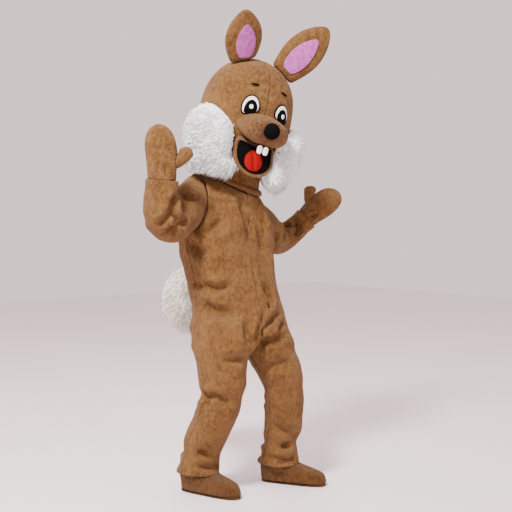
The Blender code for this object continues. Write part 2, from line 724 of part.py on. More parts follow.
def make_arm(side, label, shoulder, table, leg_table, mitt, thumb, plush):
    rows, frames = sleeve_rows(side, shoulder, table)
    normals = [[normal * -side for normal in line] for line in grid_normals(rows, True)]
    centre, axis = frames[-1][0], frames[-1][4]
    normals[-1] = square_to(normals[-1], axis)
    make_side(label, side, leg_table, shoulder, normals[0], plush)
    edge = rows[0]
    rows[0] = [open_edge(point, rows[1][j], normals[0][j], (edge[j - 1] - point).normalized())
               for j, point in enumerate(edge)]
    cloth("sleeve_" + label, rows, plush, wrap=True, normals=normals)
    toward_view = Matrix.Rotation(-VIEW_TURN, 3, "Z") @ Vector((0.0, -1.0, 0.0))
    thick = (toward_view - axis * toward_view.dot(axis)).normalized()
    wide = axis.cross(thick).normalized()
    if label == "left":
        wide = -wide
    bag = bag_rows(rows[-1], centre, axis, wide, thick, mitt)
    tip = centre + axis * (mitt[-1][0] + 0.008) + wide * mitt[-1][3]
    normals = [[normal * -side for normal in line] for line in grid_normals(bag, True)]
    normals[0] = square_to(normals[0], axis)
    palm = cloth("mitt_" + label, bag, plush, wrap=True, tip=tip, normals=normals)

    tree = tree_of(palm)
    thumb_lean, thumb_length = thumb
    root = centre + axis * THUMB_ROOT
    lean = math.radians(thumb_lean)
    thumb_axis = (wide * math.cos(lean) + axis * math.sin(lean)).normalized()
    across = thumb_axis.cross(thick).normalized()
    start, slopes = [], []
    for j in range(THUMB_POINTS):
        angle = 2.0 * math.pi * j / THUMB_POINTS
        spoke = across * math.cos(angle) * THUMB_HALF_WIDTH + thick * math.sin(angle) * THUMB_HALF_THICKNESS
        hit, slope = tree.ray_cast(root + spoke + thumb_axis, -thumb_axis)[:2]
        start.append(hit + thumb_axis * THUMB_CLEARANCE)
        slopes.append(slope)
    seat = max((point - root).dot(thumb_axis) for point in start)
    thumb_rows = [start]
    for share, taper in THUMB:
        middle = root + thumb_axis * (seat + thumb_length * share)
        ring = []
        for j in range(THUMB_POINTS):
            angle = 2.0 * math.pi * j / THUMB_POINTS
            point = middle + across * math.cos(angle) * THUMB_HALF_WIDTH * taper
            point += thick * math.sin(angle) * THUMB_HALF_THICKNESS * taper
            nearest, slope = tree.find_nearest(point)[:2]
            height = (point - nearest).dot(slope)
            ring.append(point + slope * max(0.0, THUMB_CLEARANCE - height))
        thumb_rows.append(ring)
    thumb_tip = root + thumb_axis * (seat + thumb_length)
    normals = [[-normal for normal in line] for line in grid_normals(thumb_rows, True)]
    normals[0] = [normal - thumb_axis * (normal.dot(slope) / thumb_axis.dot(slope))
                  for normal, slope in zip(square_to(normals[0], thumb_axis), slopes)]
    cloth("thumb_" + label, thumb_rows, plush, wrap=True, tip=thumb_tip, normals=normals)


def foot_outline(angle, grow=1.0):
    """Outline of a sole seen from above, with the angle measured from the toe."""
    forward, across = math.cos(angle), math.sin(angle)
    reach = FOOT_LENGTH * (1.0 - HEEL_SHARE) if forward > 0.0 else FOOT_LENGTH * HEEL_SHARE
    waist = 1.0 - 0.10 * math.exp(-((forward * reach - 0.05) / 0.06) ** 2)
    ball = FOOT_WIDTH / 2.0 * (1.0 + 0.12 * smoothstep(0.0, 0.20, forward * reach))
    power = 0.85
    x = math.copysign(abs(across) ** power, across) * ball * waist * grow
    return Vector((x, -math.copysign(abs(forward) ** power, forward) * reach * grow, 0.0))


def make_foot(label, table, turn, brown):
    ankle_x, ankle_y = table[0][1:3]
    centre = Vector((ankle_x, ankle_y, 0.0))
    turn_matrix = Matrix.Rotation(turn, 3, "Z")
    rows = []
    inset = PLUSH_THICKNESS + SEAM_GAP * 2.5
    for share, toe_height, heel_height in FOOT_ROWS:
        row = []
        for j in range(FOOT_POINTS):
            around = 2.0 * math.pi * j / FOOT_POINTS
            outline = turn_matrix @ foot_outline(around - turn)
            weight = (1.0 + math.cos(around - turn)) / 2.0
            height = heel_height + (toe_height - heel_height) * weight
            ankle = leg_point(table, 1.0, max(HEM_HEIGHT, height), around) - centre
            ankle.z = 0.0
            ankle -= ankle.normalized() * inset
            point = centre + ankle.lerp(outline, share)
            point.z = height
            row.append(point)
        rows.append(row)
    cloth("foot_" + label, rows, brown, wrap=True, flip=True)
    lower = [centre + turn_matrix @ foot_outline(2.0 * math.pi * j / FOOT_POINTS - turn)
             for j in range(FOOT_POINTS)]
    upper = [point + Vector((0.0, 0.0, SOLE_THICKNESS)) for point in lower]
    block("sole_" + label, (lower, upper), brown)


def make_collar(plush):
    """A rolled band that stands on the neckline."""
    rings = []
    for j in range(COLLAR_POINTS):
        angle = 2.0 * math.pi * j / COLLAR_POINTS
        edge = neck_point(1.0, angle)
        outward = Vector((edge.x - NECK_CENTRE.x, edge.y - NECK_CENTRE.y, 0.0)).normalized()
        lift = Vector((0.0, 0.0, COLLAR_HEIGHT / 2.0 * math.cos(math.pi / COLLAR_SIDES) + SEAM_GAP * 3.0))
        middle = edge + lift + outward * COLLAR_WIDTH * 0.2
        ring = []
        for i in range(COLLAR_SIDES):
            turn = 2.0 * math.pi * (i + 0.5) / COLLAR_SIDES
            ring.append(middle + outward * math.cos(turn) * COLLAR_WIDTH / 2.0
                        + Vector((0.0, 0.0, math.sin(turn) * COLLAR_HEIGHT / 2.0)))
        rings.append(ring)
    builder = bmesh.new()
    vertices = [[builder.verts.new(point) for point in ring] for ring in rings]
    for j in range(COLLAR_POINTS):
        following = vertices[(j + 1) % COLLAR_POINTS]
        for i in range(COLLAR_SIDES):
            k = (i + 1) % COLLAR_SIDES
            builder.faces.new((vertices[j][i], vertices[j][k], following[k], following[i]))
    return add_object("collar", builder, plush)


def ball(name, centre, radii, surface, segments=16, levels=10, turn=None, shape=None):
    """A closed ball whose points a shape function may move."""
    turn = turn or Matrix.Identity(3)
    rings = []
    for i in range(1, levels):
        height = math.pi * i / levels
        ring = []
        for j in range(segments):
            angle = 2.0 * math.pi * j / segments
            spoke = Vector((math.cos(angle) * math.sin(height) * radii[0],
                            math.sin(angle) * math.sin(height) * radii[1], math.cos(height) * radii[2]))
            ring.append(centre + turn @ spoke)
        rings.append(ring)
    top = centre + turn @ Vector((0.0, 0.0, radii[2]))
    bottom = centre - turn @ Vector((0.0, 0.0, radii[2]))
    if shape:
        rings = [[shape(point) for point in ring] for ring in rings]
        top, bottom = shape(top), shape(bottom)
    return block(name, rings, surface, start=top, end=bottom)


def make_tail(fur):
    """A fur ball sewn flat to the seat: its front follows the back panels, just clear of them."""
    tree = tree_of(bpy.data.objects["body_back_right"], bpy.data.objects["body_back_left"])

    def seated(point):
        start = Vector((point.x, 1.0, point.z))
        hit = tree.ray_cast(start, Vector((0.0, -1.0, 0.0)))[0]
        if hit is not None and point.y < hit.y + TAIL_CLEARANCE:
            return Vector((point.x, hit.y + TAIL_CLEARANCE, point.z))
        return point

    return ball("tail", TAIL_CENTRE, TAIL_RADII, fur, shape=seated)


def head_matrix():
    """Places the head: turned towards the wearer's right, leaning to the wearer's left."""
    view = Matrix.Rotation(-VIEW_TURN, 4, "Z") @ Vector((0.0, -1.0, 0.0))
    lean = Matrix.Rotation(-HEAD_LEAN, 4, view)
    return Matrix.Translation(HEAD_CENTRE) @ lean @ Matrix.Rotation(-HEAD_TURN, 4, "Z")


HEAD = head_matrix()


def direction_of(across, up):
    """A direction from the head's middle: an angle to the wearer's left of the face and one upwards."""
    return Vector((math.sin(across) * math.cos(up), -math.cos(across) * math.cos(up), math.sin(up)))


def shell_radius(direction):
    """Distance from the head's middle to its outside."""
    deep = SHELL_FRONT if direction.y < 0.0 else SHELL_BACK
    tall = SHELL_UP if direction.z > 0.0 else SHELL_DOWN
    return (abs(direction.x / SHELL_HALF_WIDTH) ** 2.2 + abs(direction.y / deep) ** 2.2
            + abs(direction.z / tall) ** 2.2) ** (-1.0 / 2.2)


def muzzle_reach(across, up):
    """0 at the muzzle's middle and 1 at its edge."""
    return math.hypot(across / MUZZLE_HALF_WIDTH, (up - MUZZLE_UP) / MUZZLE_HALF_HEIGHT)


def muzzle_depth(across, up):
    """How far the muzzle stands off the head, or 0 outside it."""
    reach = muzzle_reach(across, up)
    if reach >= 1.0:
        return EDGE_DEPTH if reach < 1.02 else 0.0
    dome = (1.0 - reach ** 3.2) ** 0.5
    lobe = LOBE_DEPTH * math.exp(-((abs(across) - LOBE_AT) / LOBE_SPREAD) ** 2)
    cleft = CLEFT_DEPTH * math.exp(-(across / CLEFT_SPREAD) ** 2) * smoothstep(0.2, -0.2, up - MUZZLE_UP)
    return EDGE_DEPTH + dome * (MUZZLE_DEPTH + lobe - cleft)


def angles_of(direction):
    return math.atan2(direction.x, -direction.y), math.asin(max(-1.0, min(1.0, direction.z)))


def pad(name, middle, outline, base, depth, surface, reaches, segments=20, chart=direction_of):
    """A closed piece lying on the head: base and depth are functions of its two angles."""
    front, back = [], []
    for reach in reaches:
        front_ring, back_ring = [], []
        for j in range(segments):
            turn = 2.0 * math.pi * j / segments
            edge = outline(turn)
            across = middle[0] + edge[0] * reach
            up = middle[1] + edge[1] * reach
            direction = chart(across, up)
            low = base(direction) + SEAM_GAP * 2.0
            back_ring.append(HEAD @ (SHELL_CENTRE + direction * low))
            high = low + depth(reach, turn, across, up)
            front_ring.append(HEAD @ (SHELL_CENTRE + direction * high))
        front.append(front_ring)
        back.append(back_ring)
    direction = chart(*middle)
    low = base(direction) + SEAM_GAP * 2.0
    high = low + depth(0.0, 0.0, *middle)
    back_middle = HEAD @ (SHELL_CENTRE + direction * low)
    front_middle = HEAD @ (SHELL_CENTRE + direction * high)
    return block(name, back + front[::-1], surface, start=back_middle, end=front_middle)


def flat(thickness):
    """A depth function of one thickness all over."""
    return lambda *place: thickness


def even_reaches(rings):
    return [ring / rings for ring in range(1, rings + 1)]


def oval(half_width, half_height, tilt=0.0):
    def outline(turn):
        x, y = half_width * math.cos(turn), half_height * math.sin(turn)
        return (x * math.cos(tilt) - y * math.sin(tilt), x * math.sin(tilt) + y * math.cos(tilt))
    return outline


def make_shell(plush):
    """The head's two halves, each a thick wall from the face's middle seam to the back's."""
    for label, side in (("right", -1.0), ("left", 1.0)):
        rows, normals = [], []
        for i in range(HEAD_LEVELS):
            up = SHELL_OPENING + (math.radians(88.0) - SHELL_OPENING) * i / (HEAD_LEVELS - 1)
            row, line = [], []
            for j in range(HEAD_COLUMNS):
                across = math.pi * j / (HEAD_COLUMNS - 1)
                direction = direction_of(side * across, up)
                point = SHELL_CENTRE + direction * shell_radius(direction)
                if j in (0, HEAD_COLUMNS - 1):
                    point.x = side * SEAM_HALF_GAP
                    direction.x = 0.0
                row.append(HEAD @ point)
                line.append(HEAD.to_3x3() @ direction)
            rows.append(row)
            normals.append(line)
        cloth("head_" + label, rows, plush, thickness=FOAM_THICKNESS, normals=normals)


def make_skirt(plush):
    """The plush from inside the head's opening down to the inside of the collar."""
    rows = [[], [], [], [], []]
    levels = ((SKIRT_OVERLAP, 0.0030), (0.0, 0.0008), (-SKIRT_OVERLAP / 4.0, 0.0008))
    for j in range(COLLAR_POINTS):
        across = 2.0 * math.pi * j / COLLAR_POINTS
        for row, (overlap, inset) in zip(rows, levels):
            direction = direction_of(across, SHELL_OPENING + overlap)
            radius = shell_radius(direction) - FOAM_THICKNESS - inset
            row.append(HEAD @ (SHELL_CENTRE + direction * radius))
        bottom = neck_point(1.0, across, NECK_HALF_WIDTH - SKIRT_INSET, NECK_HALF_DEPTH - SKIRT_INSET)
        bottom.z += COLLAR_HEIGHT / 2.0
        rows[3].append(bottom)
        rows[4].append(bottom - Vector((0.0, 0.0, COLLAR_HEIGHT * 0.4)))
    cloth("neck_skirt", rows, plush, wrap=True, flip=True)


def make_ear(label, side, plush, lining):
    root_direction = Vector((side * 0.50, -0.10, 1.0)).normalized()
    root = SHELL_CENTRE + root_direction * shell_radius(root_direction)
    length, axis, facing = EARS[label]
    axis = axis.normalized()
    facing = (facing - axis * facing.dot(axis)).normalized()
    across = axis.cross(facing).normalized()

    def seated(point):
        offset = point - SHELL_CENTRE
        clear = shell_radius(offset.normalized()) + SEAM_GAP * 3.0
        return SHELL_CENTRE + offset.normalized() * clear

    def clear_of_head(point):
        raised = seated(point)
        lower = (point - SHELL_CENTRE).length < (raised - SHELL_CENTRE).length
        return raised if lower else point

    root_row = (0.0, EAR_ROWS[0][1] / 2.0, EAR_ROWS[0][2] / 2.0)
    rings = []
    for level, (share, half_width, half_thickness) in enumerate((root_row, *EAR_ROWS)):
        middle = root + axis * length * share
        ring = []
        for j in range(EAR_POINTS):
            angle = 2.0 * math.pi * j / EAR_POINTS
            point = middle + across * math.cos(angle) * half_width + facing * math.sin(angle) * half_thickness
            ring.append(seated(point) if level < 2 else clear_of_head(point))
        rings.append(ring)
    tip = root + axis * length
    world = [[HEAD @ point for point in ring] for ring in rings]
    block("ear_" + label, world, plush, start=HEAD @ seated(root), end=HEAD @ tip)

    front, back = [], []
    for share, half_width in LINING_ROWS:
        width, thickness = read_table(EAR_ROWS, share)
        middle = root + axis * length * share
        for line, lift in ((front, LINING_THICKNESS), (back, SEAM_GAP * 4.0)):
            row = []
            for j in range(5):
                x = half_width * (j / 2.0 - 1.0)
                surface = thickness * math.sqrt(max(0.0, 1.0 - (x / width) ** 2))
                row.append(middle + across * x + facing * (surface + lift))
            line.append(row)
    loops = [[HEAD @ point for point in f + b[::-1]] for f, b in zip(front, back)]
    block("ear_lining_" + label, loops, lining)


def jaw_outline(turn):
    """The upper half runs along the muzzle's lower edge and the lower half is a round drop."""
    x, y = math.cos(turn), math.sin(turn)
    if y <= 0.0:
        return JAW_HALF_WIDTH * x, JAW_DROP * y
    across = (JAW_ACROSS + JAW_HALF_WIDTH * x) / MUZZLE_HALF_WIDTH
    edge = MUZZLE_UP - MUZZLE_HALF_HEIGHT * math.sqrt(max(0.0, 1.0 - across * across)) * 1.02
    return JAW_HALF_WIDTH * x, (edge - JAW_MUZZLE_GAP - JAW_UP) * math.sqrt(y)


def jaw_lip(drop):
    """How far the lip stands off the head, most at its lowest point."""
    return JAW_CORNER_DEPTH + (JAW_FRONT_DEPTH - JAW_CORNER_DEPTH) * max(0.0, drop / LIP_AT) ** 0.8


def jaw_depth(reach, turn, *place):
    """The jaw stands off most at its lip and is hollowed inside it."""
    lip = jaw_lip(-math.sin(turn) * reach)
    if reach > 0.99:
        return EDGE_DEPTH + lip * 0.6
    return lip if reach > MOUTH_EDGE else lip - MOUTH_RECESS


def mouth_floor(direction):
    """Distance from the head's middle to the bottom of the jaw's hollow."""
    up = angles_of(direction)[1]
    return shell_radius(direction) + jaw_lip((JAW_UP - up) / JAW_DROP) - MOUTH_RECESS + SEAM_GAP * 2.0


def above_muzzle(middle, outline):
    """An outline on the face, cut off where the muzzle starts."""
    def cut(turn):
        across, up = outline(turn)
        share = 1.0
        while muzzle_reach(middle[0] + across * share, middle[1] + up * share) < MUZZLE_CLEARANCE:
            share -= 0.02
        return across * share, up * share
    return cut


def surface_radius(tree, direction):
    """Distance from the head's middle to the outermost built surface along a direction, or 0."""
    outward = HEAD.to_3x3() @ direction
    centre = HEAD @ SHELL_CENTRE
    hit = tree.ray_cast(centre + outward, -outward, 1.0)[0]
    return (hit - centre).length if hit is not None else 0.0


def chart_offset(direction, angle):
    """A direction a little to one side of another."""
    side = direction.orthogonal().normalized()
    other = direction.cross(side)
    return (direction + (side * math.cos(angle) + other * math.sin(angle)) * NEARBY).normalized()


def make_cheek(label, side, fur):
    """A ruff of fur over the side of the head, from behind the muzzle to below the jaw."""
    middle = Vector((side * CHEEK_DIRECTION.x, CHEEK_DIRECTION.y, CHEEK_DIRECTION.z))
    forward = (Vector((0.0, -1.0, 0.0)) + middle * middle.y).normalized()
    upward = middle.cross(forward) * side
    if upward.z < 0.0:
        upward = -upward

    def chart(across, up):
        return (middle + forward * across + upward * up).normalized()

    def outline(turn):
        x, y = math.cos(turn), math.sin(turn)
        rise = y * (CHEEK_UP if y > 0.0 else CHEEK_DOWN)
        ahead = x * (CHEEK_FORWARD if x > 0.0 else CHEEK_BACKWARD) - CHEEK_SLANT * rise
        share = 1.0
        while covered(chart(ahead * share, rise * share)):
            share -= 0.01
        return ahead * share, rise * share

    def covered(direction):
        """Whether the muzzle, the jaw or the head's opening already lies along a direction."""
        across, up = angles_of(direction)
        beside = (across - JAW_ACROSS) / JAW_HALF_WIDTH
        below = (JAW_UP - up) / JAW_DROP
        in_jaw = math.hypot(beside, max(0.0, below)) < 1.06 and up < MUZZLE_UP
        return muzzle_reach(across, up) < 1.06 or in_jaw or direction.z < CHEEK_LOWEST

    tree = tree_of(*(bpy.data.objects[name] for name in CHEEK_NEIGHBOURS))
    floor = tree_of(*(bpy.data.objects[name] for name in CHEEK_FLOORS))
    centre = HEAD @ SHELL_CENTRE

    def around(direction):
        return [direction] + [chart_offset(direction, 2.0 * math.pi * turn / 8) for turn in range(8)]

    def base(direction):
        reaches = [surface_radius(tree, nearby) for nearby in around(direction)]
        return max(*reaches, shell_radius(direction)) + CHEEK_CLEARANCE

    def depth(reach, turn, across, up):
        """Full in the lower half, and stopped short of the collar and the shoulders."""
        sharpness = 2.4 if math.sin(turn) > 0.0 else 4.0
        full = CHEEK_DEPTH * max(0.0, 1.0 - reach ** sharpness) ** 0.55
        full += CHEEK_HEM * max(0.0, -math.sin(turn)) * reach * reach
        direction = chart(across, up)
        room = full
        for nearby in around(direction):
            outward = HEAD.to_3x3() @ nearby
            hit = floor.ray_cast(centre, outward, 1.0)[0]
            if hit is not None:
                room = min(room, (hit - centre).length - CHEEK_FLOOR_CLEARANCE - base(direction))
        return EDGE_DEPTH + max(0.0, room)

    pad("cheek_" + label, (0.0, 0.0), outline, base, depth, fur, even_reaches(7), segments=22, chart=chart)


def make_face(surfaces):
    plush, black, white, red = (surfaces[key] for key in ("plush", "black", "white", "red"))
    pad("muzzle", (0.0, MUZZLE_UP), oval(MUZZLE_HALF_WIDTH, MUZZLE_HALF_HEIGHT), shell_radius,
        lambda reach, turn, *place: muzzle_depth(*place) if reach < 1.0 else EDGE_DEPTH, plush,
        even_reaches(6), segments=26)
    pad("jaw", (JAW_ACROSS, JAW_UP), jaw_outline, shell_radius, jaw_depth, plush, JAW_REACHES, segments=22)
    pad("mouth", (JAW_ACROSS, JAW_UP), jaw_outline, lambda direction: mouth_floor(direction) + SEAM_GAP * 2.0,
        flat(MOUTH_THICKNESS), black, MOUTH_REACHES, segments=22)

    tree = tree_of(bpy.data.objects["muzzle"])

    def clear_of_muzzle(point):
        offset = point - SHELL_CENTRE
        direction = offset.normalized()
        clear = surface_radius(tree, direction) + SEAM_GAP * 4.0
        return HEAD @ (SHELL_CENTRE + direction * max(offset.length, clear))

    ball("nose", NOSE_CENTRE, (NOSE_RADIUS,) * 3, black, segments=16, levels=10, shape=clear_of_muzzle)
    for label, side in (("right", -1.0), ("left", 1.0)):
        make_cheek(label, side, surfaces["fur"])
        lift = 0.0
        for name, rise, half_width, half_height, surface in EYE_LAYERS:
            def base(direction, lift=lift):
                return shell_radius(direction) + lift
            middle = (side * EYE_ACROSS, EYE_UP + rise)
            outline = above_muzzle(middle, oval(half_width, half_height, side * EYE_TILT))
            pad(name + label, middle, outline, base, flat(EYE_THICKNESS), surfaces[surface], even_reaches(2),
                segments=14)
            lift += EYE_THICKNESS + SEAM_GAP * 2.0
        pad("brow_" + label, (side * BROW_ACROSS, BROW_UP),
            oval(BROW_HALF_WIDTH, BROW_HALF_HEIGHT, side * BROW_TILT),
            lambda direction: shell_radius(direction) - SEAM_GAP * 2.0,
            flat(EYE_THICKNESS), black, even_reaches(1), segments=10)
        make_ear(label, side, plush, surfaces["mauve"])

    up = HEAD.to_3x3() @ Vector((0.0, 0.0, 1.0))
    for label, side in (("right", -1.0), ("left", 1.0)):
        across_at = side * (TOOTH_WIDTH / 2.0 + SEAM_GAP)
        root = -1.0
        for x in TOOTH_SAMPLES:
            for deep in (0.0, TOOTH_THICKNESS):
                start = Vector((across_at + x * TOOTH_WIDTH / 2.0, TOOTH_FRONT + deep, TOOTH_TOP))
                hit = tree.ray_cast(HEAD @ start, up)[0]
                clear = (HEAD.inverted() @ hit).z - SEAM_GAP * 2.0
                root = clear if root < -0.5 else min(root, clear)
        loops = []
        for deep in (0.0, TOOTH_THICKNESS):
            loop = []
            for x, z in TOOTH_CORNERS:
                across = across_at + x * TOOTH_WIDTH / 2.0
                loop.append(HEAD @ Vector((across, TOOTH_FRONT + deep, root - z * TOOTH_HEIGHT)))
            loops.append(loop)
        block("tooth_" + label, loops, white)

    pad("tongue", (JAW_ACROSS + TONGUE_ACROSS, JAW_UP + TONGUE_UP),
        oval(TONGUE_HALF_WIDTH, TONGUE_HALF_HEIGHT),
        lambda direction: mouth_floor(direction) + MOUTH_THICKNESS + SEAM_GAP * 8.0,
        lambda reach, *place: TONGUE_DEPTH * (1.0 - reach ** 3) + TONGUE_EDGE, red,
        even_reaches(3), segments=16)


def build():
    for item in list(bpy.data.objects):
        bpy.data.objects.remove(item, do_unlink=True)
    plush = material("camel plush", (0.480, 0.295, 0.160), 0.95)
    brown = material("brown plush", (0.270, 0.130, 0.055), 0.95)
    surfaces = {
        "plush": plush,
        "fur": material("white fur", (0.870, 0.880, 0.860), 0.95),
        "mauve": material("mauve plush", (0.560, 0.235, 0.460), 0.90),
        "black": material("black cloth", (0.008, 0.008, 0.009), 0.55),
        "white": material("white vinyl", (0.850, 0.850, 0.860), 0.40),
        "red": material("red felt", (0.600, 0.008, 0.010), 0.80),
    }
    make_arm(-1.0, "right", RIGHT_SHOULDER, RIGHT_ARM, RIGHT_LEG, RIGHT_MITT, RIGHT_THUMB, plush)
    make_arm(1.0, "left", LEFT_SHOULDER, LEFT_ARM, LEFT_LEG, LEFT_MITT, LEFT_THUMB, plush)
    make_foot("right", RIGHT_LEG, RIGHT_FOOT_TURN, brown)
    make_foot("left", LEFT_LEG, LEFT_FOOT_TURN, brown)
    make_collar(plush)
    make_tail(material("cream fur", (0.800, 0.790, 0.700), 0.95))
    make_shell(plush)
    make_skirt(plush)
    make_face(surfaces)
    for item in bpy.data.objects:
        item.data.transform(Matrix.Translation(-NECK_CENTRE))


build()
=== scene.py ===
"""Looks of a plush rabbit mascot costume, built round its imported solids."""

import math
import random

import bmesh
import bpy
import numpy as np
from mathutils import Matrix, Vector, noise
from mathutils.bvhtree import BVHTree
from mathutils.kdtree import KDTree


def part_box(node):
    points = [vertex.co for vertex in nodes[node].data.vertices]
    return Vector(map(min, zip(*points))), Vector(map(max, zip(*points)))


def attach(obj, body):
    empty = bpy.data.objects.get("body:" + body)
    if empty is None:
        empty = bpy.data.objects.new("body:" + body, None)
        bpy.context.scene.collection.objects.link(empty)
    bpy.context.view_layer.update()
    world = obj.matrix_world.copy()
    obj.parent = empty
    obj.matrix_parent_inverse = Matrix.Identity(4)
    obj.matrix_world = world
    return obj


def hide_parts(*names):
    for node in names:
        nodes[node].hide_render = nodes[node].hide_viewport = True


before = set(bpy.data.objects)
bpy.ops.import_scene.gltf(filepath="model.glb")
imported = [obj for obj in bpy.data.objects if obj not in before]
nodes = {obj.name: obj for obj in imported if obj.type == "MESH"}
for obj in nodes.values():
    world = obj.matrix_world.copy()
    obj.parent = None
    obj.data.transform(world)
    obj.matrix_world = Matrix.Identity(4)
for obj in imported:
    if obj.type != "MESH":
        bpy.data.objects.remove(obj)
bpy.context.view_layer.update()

# Studio
# The camera stands where the photograph was taken from, a little above the costume's middle.
# The floor is a plain pale sheet and the light is soft, strongest from the wearer's right.
FLOOR_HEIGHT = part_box("sole_right")[0].z
CAMERA_PLACE = Vector((-2.7978, -3.5265, -0.119))
CAMERA_AIM = Vector((0.0947, -0.0794, -0.334))
CAMERA_LENS = 70.3
CAMERA_SENSOR = 36.0
WORLD_COLOUR = (1.0, 0.81, 0.84, 1.0)
WORLD_STRENGTH = 1.25
FLOOR_HALF_SIZE = 9.0
FLOOR_GAP = 0.0005
LAMP_AIM = Vector((0.0, 0.0, -0.3))
LAMPS = (
    # place, size, watts, colour
    ((-2.9, -1.6, 3.0), 0.8, 560.0, (1.0, 0.97, 0.94)),
    ((-0.6, -4.2, 1.2), 2.2, 12.0, (1.0, 0.96, 0.95)),
    ((1.6, 3.0, 2.6), 2.4, 80.0, (1.0, 0.96, 0.97)),
)



def stand(name, data):
    """Puts an object that shows some data into the scene."""
    thing = bpy.data.objects.new(name, data)
    bpy.context.scene.collection.objects.link(thing)
    return thing


camera_data = bpy.data.cameras.new("camera")
camera_data.lens = CAMERA_LENS
camera_data.sensor_width = CAMERA_SENSOR
camera = stand("camera", camera_data)
camera.location = CAMERA_PLACE
camera.rotation_euler = (CAMERA_AIM - CAMERA_PLACE).to_track_quat("-Z", "Y").to_euler()
bpy.context.scene.camera = camera

for index, (place, size, watts, colour) in enumerate(LAMPS):
    lamp_data = bpy.data.lights.new("lamp_%d" % index, "AREA")
    lamp_data.size = size
    lamp_data.energy = watts
    lamp_data.color = colour
    lamp = stand("lamp_%d" % index, lamp_data)
    lamp.location = place
    lamp.rotation_euler = (LAMP_AIM - Vector(place)).to_track_quat("-Z", "Y").to_euler()

world = bpy.data.worlds.new("studio")
world.use_nodes = True
background = world.node_tree.nodes["Background"]
background.inputs["Color"].default_value = WORLD_COLOUR
background.inputs["Strength"].default_value = WORLD_STRENGTH
bpy.context.scene.world = world


class Wire:
    """A shader socket that Python arithmetic can be done on."""

    def __init__(self, finish, socket):
        self.finish = finish
        self.socket = socket

    def math(self, operation, other, swap=False):
        ends = (other, self) if swap else (self, other)
        return self.finish.add("ShaderNodeMath", {"operation": operation}, {0: ends[0], 1: ends[1]})

    def __add__(self, other):
        return self.math("ADD", other)

    def __radd__(self, other):
        return self.math("ADD", other, True)

    def __mul__(self, other):
        return self.math("MULTIPLY", other)

    def __rmul__(self, other):
        return self.math("MULTIPLY", other, True)


# Places of a Mix node's colour sockets
MIX_SHARE = 0
MIX_FIRST = 6
MIX_SECOND = 7
MIX_RESULT = 2


class Finish:
    """A Principled material whose nodes are added one call at a time."""

    def __init__(self, name, **constants):
        self.material = bpy.data.materials.new(name)
        self.material.use_nodes = True
        self.tree = self.material.node_tree
        self.shader = self.tree.nodes["Principled BSDF"]
        for socket, value in constants.items():
            self.shader.inputs[socket.replace("_", " ")].default_value = value

    def add(self, kind, settings, inputs, output=0):
        node = self.tree.nodes.new(kind)
        for key, value in settings.items():
            setattr(node, key, value)
        for key, value in inputs.items():
            if isinstance(value, Wire):
                self.tree.links.new(value.socket, node.inputs[key])
            else:
                node.inputs[key].default_value = value
        return Wire(self, node.outputs[output])

    def link(self, name, wire):
        self.tree.links.new(wire.socket, self.shader.inputs[name])

    def place(self, stretch=(1.0, 1.0, 1.0)):
        """Object coordinates, stretched along each axis."""
        spot = self.add("ShaderNodeTexCoord", {}, {}, "Object")
        return self.add("ShaderNodeMapping", {}, {"Vector": spot, "Scale": stretch})

    def noise(self, scale, detail=3.0, stretch=(1.0, 1.0, 1.0), rough=0.5):
        return self.add("ShaderNodeTexNoise", {}, {"Vector": self.place(stretch), "Scale": scale,
                                                   "Detail": detail, "Roughness": rough}, "Fac")

    def spread(self, wire, low, high):
        """A wire's values from low to high, stretched over 0 to 1."""
        return self.add("ShaderNodeMapRange", {"interpolation_type": "SMOOTHSTEP"},
                        {"Value": wire, "From Min": low, "From Max": high}, "Result")

    def mix(self, share, first, second):
        """The first colour, giving way to the second as the share rises to 1."""
        values = {MIX_SHARE: share}
        for socket, colour in ((MIX_FIRST, first), (MIX_SECOND, second)):
            values[socket] = colour if isinstance(colour, Wire) else (*colour, 1.0)
        return self.add("ShaderNodeMix", {"data_type": "RGBA"}, values, MIX_RESULT)

    def bump(self, height, distance):
        self.link("Normal", self.add("ShaderNodeBump", {}, {"Height": height, "Distance": distance,
                                                            "Strength": 1.0}))


floor_finish = Finish("pale floor", Roughness=0.75)
floor_tone = floor_finish.spread(floor_finish.noise(0.7, 2.0), 0.3, 0.7)
floor_finish.link("Base Color", floor_finish.mix(floor_tone, (0.90, 0.80, 0.82), (0.92, 0.83, 0.85)))
floor_mesh = bmesh.new()
bmesh.ops.create_grid(floor_mesh, x_segments=1, y_segments=1, size=FLOOR_HALF_SIZE,
                      matrix=Matrix.Translation((0.0, 0.0, FLOOR_HEIGHT - FLOOR_GAP)))
floor_data = bpy.data.meshes.new("floor")
floor_mesh.to_mesh(floor_data)
floor_mesh.free()
floor_data.materials.append(floor_finish.material)
floor = stand("floor", floor_data)


# Coverall
# Four long panels of short camel plush with a soft nap, sewn right sides together.
# The cloth is 3 mm thick and is pulled into creases, with sunken seams and puckered hems.
PLUSH_WALL = 0.003
RIM_ANGLE = math.radians(60.0)
RIM_DEPTH = 0.0060
SEAM_REACH = 0.010
SEAM_SINK = 0.0045
CREASE_GAIN = 3.0
CREASE_LIMIT = 0.027
RIDGE_GAIN = 0.8
RIDGE_LIMIT = 0.008
HEM_COVER = 0.030
HEM_REACH = 0.040
HEM_LIFT = 0.007
HEM_FALL = 0.6
PUCKER_RATE = 22.0
PUCKER_SHARE = 0.5
BROAD_LUMPS = 9.0
FINE_LUMPS = 27.0
FINE_SHARE = 0.35
FAINTEST_END = 0.2
RIDGE_PLACE = 2.0
FAR_AWAY = 9.0
REFILL_PASSES = 3
SMOOTHING_PASSES = 3
CLOTH_LEVELS = 3
MERGE_DISTANCE = 1e-5
SQUARE_BEND = math.radians(60.0)
SQUARE_SHAPE = math.radians(70.0)
